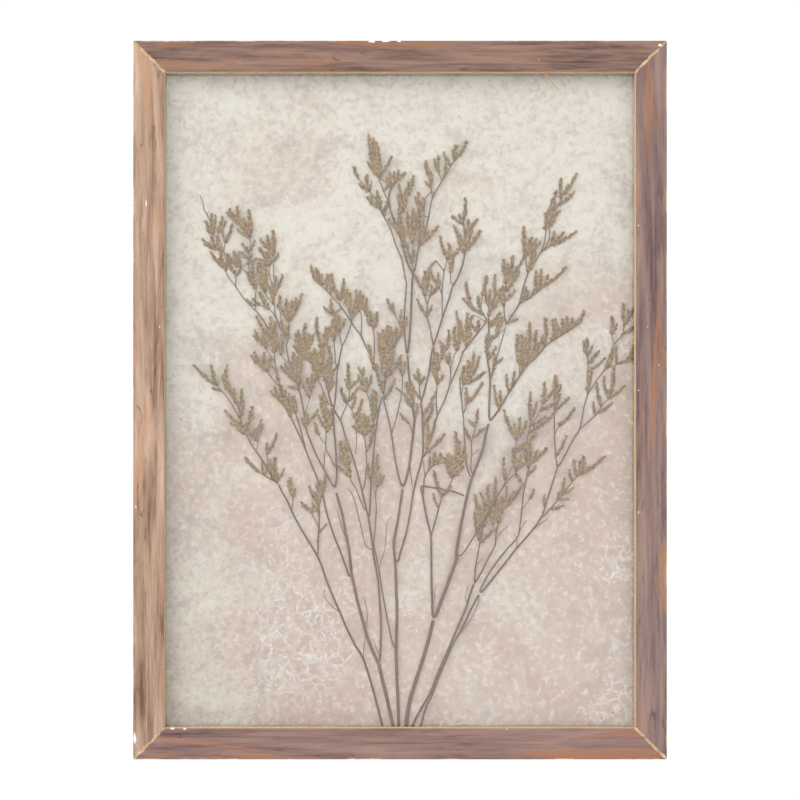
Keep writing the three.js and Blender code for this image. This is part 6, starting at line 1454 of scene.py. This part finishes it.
    def stems(self, g: Graph, given: object, curves: object) -> bpy.types.NodeSocket:
        """Sweeps a round section along every route, as wide as the route's own girth."""
        even = g.add("GeometryNodeSetCurveRadius")
        g.feed(even.inputs["Curve"], curves)
        even.inputs["Radius"].default_value = 1.0
        ring = g.add("GeometryNodeCurvePrimitiveCircle")
        g.feed(ring.inputs["Resolution"], given["Stem sides"])
        ring.inputs["Radius"].default_value = 0.5
        tube = g.add("GeometryNodeCurveToMesh")
        g.feed(tube.inputs["Curve"], even.outputs[0])
        g.feed(tube.inputs["Profile Curve"], ring.outputs[0])
        g.feed(tube.inputs["Scale"], self.named(g, "girth"))
        tube.inputs["Fill Caps"].default_value = True
        return tube.outputs[0]

    def buds(
        self, g: Graph, given: object, curves: object, row: int, low: float, high: float, size: float
    ) -> bpy.types.NodeSocket:
        """Sets one row of buds along the spikes, tilted to the spike's upper side.

        Args:
            g: the tree's graph.
            given: the group's inputs.
            curves: the spikes.
            row: the row's number, which sets its random values.
            low, high: the tilt away from the spike, in radians.
            size: the row's size.

        Returns:
            The instances.
        """
        spaced = g.add("GeometryNodeResampleCurve", mode="LENGTH")
        g.feed(spaced.inputs["Curve"], curves)
        g.feed(spaced.inputs["Length"], given["Spacing"])
        seed = g.math("ADD", given["Seed"], 10 * row)
        tilt = g.math("MULTIPLY", self.varied(g, low, high, seed), self.named(g, "side"))
        turned = g.add("ShaderNodeVectorRotate", rotation_type="AXIS_ANGLE")
        g.feed(turned.inputs["Vector"], g.add("GeometryNodeInputTangent").outputs[0])
        turned.inputs["Axis"].default_value = (0, 1, 0)
        g.feed(turned.inputs["Angle"], tilt)
        lean = g.add("ShaderNodeVectorMath", operation="ADD")
        g.feed(lean.inputs[0], turned.outputs[0])
        sway = g.add("ShaderNodeCombineXYZ")
        g.feed(sway.inputs[1], self.varied(g, -0.35, 0.25, g.math("ADD", seed, 3)))
        g.feed(lean.inputs[1], sway.outputs[0])
        facing = g.add("FunctionNodeAlignRotationToVector", axis="Z")
        g.feed(facing.inputs["Vector"], lean.outputs[0])
        scale = g.add("ShaderNodeCombineXYZ")
        share = self.varied(g, 0.62, 1.1, g.math("ADD", seed, 5))
        share = g.math("MULTIPLY", g.math("MULTIPLY", share, self.named(g, "swell")), size)
        wide = g.math("MULTIPLY", share, given["Bud width"])
        long = g.math("MULTIPLY", share, given["Bud length"])
        for socket, value in zip(scale.inputs, (wide, wide, long)):
            g.feed(socket, value)
        model = g.add("GeometryNodeObjectInfo")
        g.feed(model.inputs["Object"], given["Bud"])
        made = g.add("GeometryNodeInstanceOnPoints")
        for label, value in (
            ("Points", spaced.outputs[0]),
            ("Instance", model.outputs["Geometry"]),
            ("Rotation", facing.outputs[0]),
            ("Scale", scale.outputs[0]),
        ):
            g.feed(made.inputs[label], value)
        toned = g.add("GeometryNodeStoreNamedAttribute", data_type="FLOAT", domain="INSTANCE")
        g.feed(toned.inputs["Geometry"], made.outputs[0])
        toned.inputs["Name"].default_value = "tone"
        g.feed(toned.inputs["Value"], self.varied(g, 0.0, 1.0, g.math("ADD", seed, 7)))
        return toned.outputs[0]

    def pressed(self, g: Graph, given: object, geometry: object) -> bpy.types.NodeSocket:
        """Squeezes everything towards its layer, as the pane does, and off the card."""
        place = g.add("GeometryNodeInputPosition").outputs[0]
        x, y, z = g.split(place)
        off = g.math("MULTIPLY", g.math("SUBTRACT", y, given["Depth"]), given["Flatness"])
        off = g.math("ADD", off, given["Depth"])
        level = g.math("MINIMUM", off, self.card_front - self.card_gap)
        flat = g.add("ShaderNodeCombineXYZ")
        for socket, value in zip(flat.inputs, (x, level, z)):
            g.feed(socket, value)
        moved = g.add("GeometryNodeSetPosition")
        g.feed(moved.inputs["Geometry"], geometry)
        g.feed(moved.inputs["Position"], flat.outputs[0])
        return moved.outputs[0]

    def depth(self, layer: int) -> float:
        """The middle of a layer."""
        return self.card_front - self.back_layer - layer * self.layer_pitch

    def rooted(self, name: str, number: int, foot: Vector, reach: float) -> Vector | None:
        """Finds the point on another stem that a foot grows from.

        Args:
            name, number: the branch and stem that are asking.
            foot: the traced foot, in millimetres.
            reach: how far off a stem may be.

        Returns:
            The point in the model, or None where no stem is near.
        """
        best, least = None, reach
        for owner, index, layer, start, end in self.spans:
            if (owner, index) == (name, number):
                continue
            way = end - start
            share = min(max((foot - start).dot(way) / max(way.length_squared, 1e-9), 0), 1)
            at = start + way * share
            if (at - foot).length < least:
                least = (at - foot).length
                best = Vector((at.x * MM, self.depth(layer), at.y * MM))
        return best

    @staticmethod
    def smooth(route: list[Vector], parts: int = 3) -> list[Vector]:
        """Rounds a traced route through its own points.

        Args:
            route: the traced points.
            parts: how many steps each span gets.

        Returns:
            The finer route.
        """
        if len(route) < 3:
            return route
        ends = [route[0] * 2 - route[1], *route, route[-1] * 2 - route[-2]]
        out = []
        for i in range(1, len(ends) - 2):
            a, b, c, d = ends[i - 1 : i + 3]
            for k in range(parts):
                t = k / parts
                bend = (2 * a - 5 * b + 4 * c - d) * t * t + (3 * b - a - 3 * c + d) * t ** 3
                out.append(0.5 * (2 * b + (c - a) * t + bend))
        return [*out, route[-1]]

    def skeleton(self, branch: Branch, chance: random.Random) -> bpy.types.Object:
        """Turns a branch's traced routes into open edges that carry their girth.

        Args:
            branch: the traced branch.
            chance: the source of small irregularities.

        Returns:
            The object that the tree is put on.
        """
        depth = self.depth(branch.layer)
        points, edges = [], []
        rows: dict[str, list[float]] = {"girth": [], "floret": [], "side": [], "swell": []}

        def put(
            route: list[Vector], foot: float, tip: float, floret: float, side: float, swell: float
        ) -> None:
            """Adds one route with its numbers."""
            start, last = len(points), len(route) - 1
            for i, point in enumerate(route):
                points.append(point)
                rows["girth"].append((foot + (tip - foot) * i / last) * MM)
                rows["floret"].append(floret)
                rows["side"].append(side)
                rows["swell"].append(swell * (1.0 - 0.25 * (i / last) ** 3) if floret else 0.0)
            edges.extend((start + i, start + i + 1) for i in range(last))

        for number, (foot, tip, *flat) in enumerate(branch.stems):
            wave = chance.uniform(0, math.tau)
            route = []
            for x, z in zip(flat[::2], flat[1::2]):
                sway = self.twist * math.sin(wave + z / self.wave_length)
                route.append(Vector((x * MM, depth + sway, z * MM)))
            root = self.rooted(branch.name, number, Vector(flat[:2]), self.stem_reach)
            if root and (root - route[0]).length > 0.15 * MM:
                route.insert(0, root)
            put(self.smooth(route), foot, tip, 0.0, 1.0, 0.0)
        for x0, z0, x1, z1, width in branch.spikes:
            near = self.rooted(branch.name, -1, Vector((x0, z0)), self.spike_reach)
            foot = near or Vector((x0 * MM, depth, z0 * MM))
            tip = Vector((x1 * MM, depth - chance.uniform(0.0, 0.5) * MM, z1 * MM))
            way = tip - foot
            outward = 1.0 if way.x >= 0 else -1.0
            if way.z < 0:
                outward = -outward
            bent = (foot + tip) / 2 + Vector((way.z, 0, -way.x)) * self.bow * outward
            shares = [step / self.spike_steps for step in range(self.spike_steps + 1)]
            route = [foot.lerp(bent, t).lerp(bent.lerp(tip, t), t) for t in shares]
            put(route, 0.42, 0.2, 1.0, -outward, 0.55 + 0.2 * width)
        mesh = bpy.data.meshes.new(branch.name)
        mesh.from_pydata(points, edges, [])
        for name, values in rows.items():
            mesh.attributes.new(name, "FLOAT", "POINT").data.foreach_set("value", values)
        made = bpy.data.objects.new(f"fine_spray_{branch.name}", mesh)
        bpy.context.scene.collection.objects.link(made)
        return made

    def build(self, branch: Branch, number: int) -> bpy.types.Object:
        """Makes one branch as a plain mesh in place of its solid.

        Args:
            branch: the traced branch.
            number: its number, which seeds its random values.

        Returns:
            The finished piece.
        """
        made = self.skeleton(branch, random.Random(number))
        grown = made.modifiers.new("grow", "NODES")
        grown.node_group = self.tree
        values = {
            "Spacing": self.spacing,
            "Flatness": self.flatness,
            "Depth": self.depth(branch.layer),
            "Bud length": self.bud_length,
            "Bud width": self.bud_width,
            "Seed": 100 * number,
            "Stem sides": self.stem_sides,
            "Bud": self.bud,
            "Finish": self.finish,
        }
        for item in self.tree.interface.items_tree:
            if item.name in values:
                grown[item.identifier] = values[item.name]
        seen = made.evaluated_get(bpy.context.evaluated_depsgraph_get())
        mesh = bpy.data.meshes.new_from_object(seen)
        made.modifiers.clear()
        made.data = mesh
        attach(made, "root")
        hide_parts(f"spray_{branch.name}")
        LOG.info("%s: %d faces", made.name, len(mesh.polygons))
        return made


@dataclass
class LooseFibres:
    """Splinters of raw board that stand off the frame's inner wall."""

    finish: bpy.types.Material
    sides: int = 5
    taper: float = 0.8
    thickness: float = 0.35
    runs: tuple = (
        (
            "splinter_top",
            0.75,
            ((81.6, -9.6, 184.6), (83.0, -10.2, 181.5), (85.2, -10.35, 178.6),
             (87.6, -10.3, 176.0), (90.4, -10.2, 173.4)),
        ),
        (
            "fibre_left_upper",
            0.28,
            ((-132.6, -9.4, 152.0), (-131.6, -9.9, 149.6), (-131.3, -10.0, 146.4)),
        ),
        (
            "fibre_left_lower",
            0.24,
            ((-132.5, -9.2, 127.5), (-131.4, -9.6, 125.8), (-131.9, -9.8, 123.0)),
        ),
    )

    def build(self) -> list[bpy.types.Object]:
        """Makes every splinter.

        Returns:
            The pieces.
        """
        return [
            self.fibre(name, [Vector(point) * MM for point in points], width * MM)
            for name, width, points in self.runs
        ]

    def fibre(self, name: str, points: list[Vector], width: float) -> bpy.types.Object:
        """Sweeps a flat section along a run and narrows it to a point.

        Args:
            name: the piece's name.
            points: the run, from its foot in the wall to its tip.
            width: its width at the foot.

        Returns:
            The piece.
        """
        route = SprayMaker.smooth(points, 4)
        corners, faces = [], []
        for i, at in enumerate(route):
            way = (route[min(i + 1, len(route) - 1)] - route[max(i - 1, 0)]).normalized()
            across = way.cross(Vector((0, 1, 0))).normalized()
            size = width * (1 - self.taper * i / (len(route) - 1)) / 2
            for k in range(self.sides):
                turn = math.tau * k / self.sides
                deep = Vector((0, self.thickness * size * math.sin(turn), 0))
                corners.append(at + across * size * math.cos(turn) + deep)
        for i in range(len(route) - 1):
            for k in range(self.sides):
                low, high = i * self.sides, (i + 1) * self.sides
                j = (k + 1) % self.sides
                faces.append((low + k, low + j, high + j, high + k))
        faces.append(tuple(range(self.sides))[::-1])
        faces.append(tuple(range(len(corners) - self.sides, len(corners))))
        mesh = bpy.data.meshes.new(name)
        mesh.from_pydata(corners, [], faces)
        outward = corners[0] - route[0]
        if mesh.polygons[0].normal.dot(outward) < 0:
            mesh.flip_normals()
        mesh.materials.append(self.finish)
        made = bpy.data.objects.new(name, mesh)
        bpy.context.scene.collection.objects.link(made)
        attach(made, "root")
        LOG.info("%s: %d faces", name, len(faces))
        return made


@dataclass
class Studio:
    """A pale floor, soft light and the camera at the photograph's angle."""

    floor_z: float = -0.9
    floor_half: float = 2.5
    base_glow: float = 0.7
    backdrop: float = 1.1
    patches: tuple = ((0.44, 0.22, 0.5, 0.68, 1.2), (-1.0, 1.0, 0.55, 1.0, 2.6))
    distance: float = 1.0
    aim: float = -0.036
    view_width: float = 0.4494

    def build(self) -> None:
        """Makes the floor, the lights, the world and the camera."""
        self.floor()
        self.world()
        self.light("key", (-1.1, -1.3, 1.15), 1.5, 21.0)
        self.light("back", (0.6, 1.4, 0.9), 1.0, 14.0)
        self.camera()
        bpy.context.scene.view_settings.view_transform = "Standard"

    def floor(self) -> None:
        """A plain pale floor under the frame."""
        mesh = bpy.data.meshes.new("floor")
        half = self.floor_half
        corners = [(-half, -half), (half, -half), (half, half), (-half, half)]
        mesh.from_pydata([(x, y, self.floor_z) for x, y in corners], [], [(0, 1, 2, 3)])
        made, _, shader = new_material("pale_floor", Roughness=0.9)
        shader.inputs["Base Color"].default_value = (0.92, 0.92, 0.92, 1)
        mesh.materials.append(made)
        floor = bpy.data.objects.new("floor", mesh)
        bpy.context.scene.collection.objects.link(floor)

    def world(self) -> None:
        """White surroundings: dim as light, with two soft bright patches before the pane."""
        world = bpy.data.worlds.new("white")
        bpy.context.scene.world = world
        world.use_nodes = True
        g = Graph(world.node_tree)
        x, y, z = g.split(g.add("ShaderNodeTexCoord").outputs["Generated"])
        ahead = g.step(y, -0.05, -0.2)
        reach = g.math("MAXIMUM", g.math("MULTIPLY", y, -1), 0.05)
        right, up = g.math("DIVIDE", x, reach), g.math("DIVIDE", z, reach)
        level = self.base_glow
        for patch_x, patch_z, inner, outer, power in self.patches:
            wide, tall = g.math("SUBTRACT", right, patch_x), g.math("SUBTRACT", up, patch_z)
            squares = g.math("ADD", g.math("MULTIPLY", wide, wide), g.math("MULTIPLY", tall, tall))
            far = g.math("SQRT", squares)
            lit = g.math("MULTIPLY", g.step(far, outer, inner), ahead)
            level = g.math("MULTIPLY_ADD", lit, power, level)
        seen = g.add("ShaderNodeLightPath").outputs["Is Camera Ray"]
        glow = g.add("ShaderNodeBackground")
        glow.inputs["Color"].default_value = (1, 1, 1, 1)
        backdrop = g.math("MULTIPLY", seen, self.backdrop)
        g.feed(glow.inputs["Strength"], g.math("MAXIMUM", level, backdrop))
        g.tree.links.new(glow.outputs[0], g.add("ShaderNodeOutputWorld").inputs[0])

    def light(self, name: str, at: tuple, size: float, power: float) -> None:
        """Sets a soft square light that points at the middle of the frame.

        Args:
            name: its name.
            at: where it stands.
            size: its side.
            power: its power in watts.
        """
        data = bpy.data.lights.new(name, "AREA")
        data.size, data.energy = size, power
        made = bpy.data.objects.new(name, data)
        turn = (-Vector(at)).to_track_quat("-Z", "Y").to_matrix().to_4x4()
        made.matrix_world = Matrix.Translation(at) @ turn
        bpy.context.scene.collection.objects.link(made)

    def camera(self) -> None:
        """Square-on camera, a little low and left of the middle, as in the photograph."""
        data = bpy.data.cameras.new("camera")
        data.sensor_width = 36.0
        data.lens = data.sensor_width * self.distance / self.view_width
        data.shift_x = data.shift_y = -self.aim / self.view_width
        made = bpy.data.objects.new("camera", data)
        made.location = (self.aim, FRONT_Y - self.distance, self.aim)
        made.rotation_euler = (math.pi / 2, 0, 0)
        bpy.context.scene.collection.objects.link(made)
        bpy.context.scene.camera = made


@dataclass
class Casing:
    """The frame, pane, card, board and fixings, which keep the model's own solids."""

    effects: Effects

    def dress(self) -> None:
        """Gives every solid its finish."""
        for foil in FOILS:
            self.cover(foil.material(self.effects), foil.side.value)
        self.cover(ClearGlass().material(), "glass")
        self.cover(MottledCard().material(self.effects), "backing_card")
        board = PlainBoard("raw_hardboard", rgb(104, 72, 46), rgb(146, 108, 74))
        self.cover(board.material(self.effects), "back_board")
        strip = PlainBoard("spacer_board", rgb(196, 176, 148), rgb(226, 208, 182))
        self.cover(strip.material(self.effects), *self.named("spacer_"))
        self.cover(ZincSteel().material(self.effects), *self.named("tab_", "nail_", "hanger"))

    @staticmethod
    def named(*starts: str) -> list[str]:
        """The nodes whose names start with one of these words."""
        return [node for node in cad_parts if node.startswith(starts)]

    @staticmethod
    def cover(finish: bpy.types.Material, *nodes: str) -> None:
        """Puts one finish on the named solids."""
        for node in nodes:
            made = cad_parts[node]
            if not made.material_slots:
                made.data.materials.append(finish)
            for slot in made.material_slots:
                slot.material = finish
            LOG.info("%s: %s", node, finish.name)


def every_stem(branches: tuple) -> list[tuple]:
    """Lists the straight spans of all stems, so that a foot can find what it grows from.

    Args:
        branches: the traced branches.

    Returns:
        (branch name, stem number, layer, start, end) for each span, in millimetres.
    """
    spans = []
    for branch in branches:
        for number, (_, _, *flat) in enumerate(branch.stems):
            route = [Vector(point) for point in zip(flat[::2], flat[1::2])]
            for start, end in zip(route, route[1:]):
                spans.append((branch.name, number, branch.layer, start, end))
    return spans


def main() -> None:
    """Builds the frame's finish, the sprays and the studio."""
    logging.basicConfig(level=logging.INFO, format="%(message)s")
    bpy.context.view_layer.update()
    effects = Effects()
    Casing(effects).dress()
    raw = PlainBoard("raw_fibre", rgb(176, 112, 58), rgb(214, 158, 100))
    LooseFibres(raw.material(effects)).build()
    sprays = SprayMaker(DriedPlant().material(effects), every_stem(BRANCHES))
    for number, branch in enumerate(BRANCHES):
        sprays.build(branch, number)
    Studio().build()


if __name__ == "__main__":
    main()
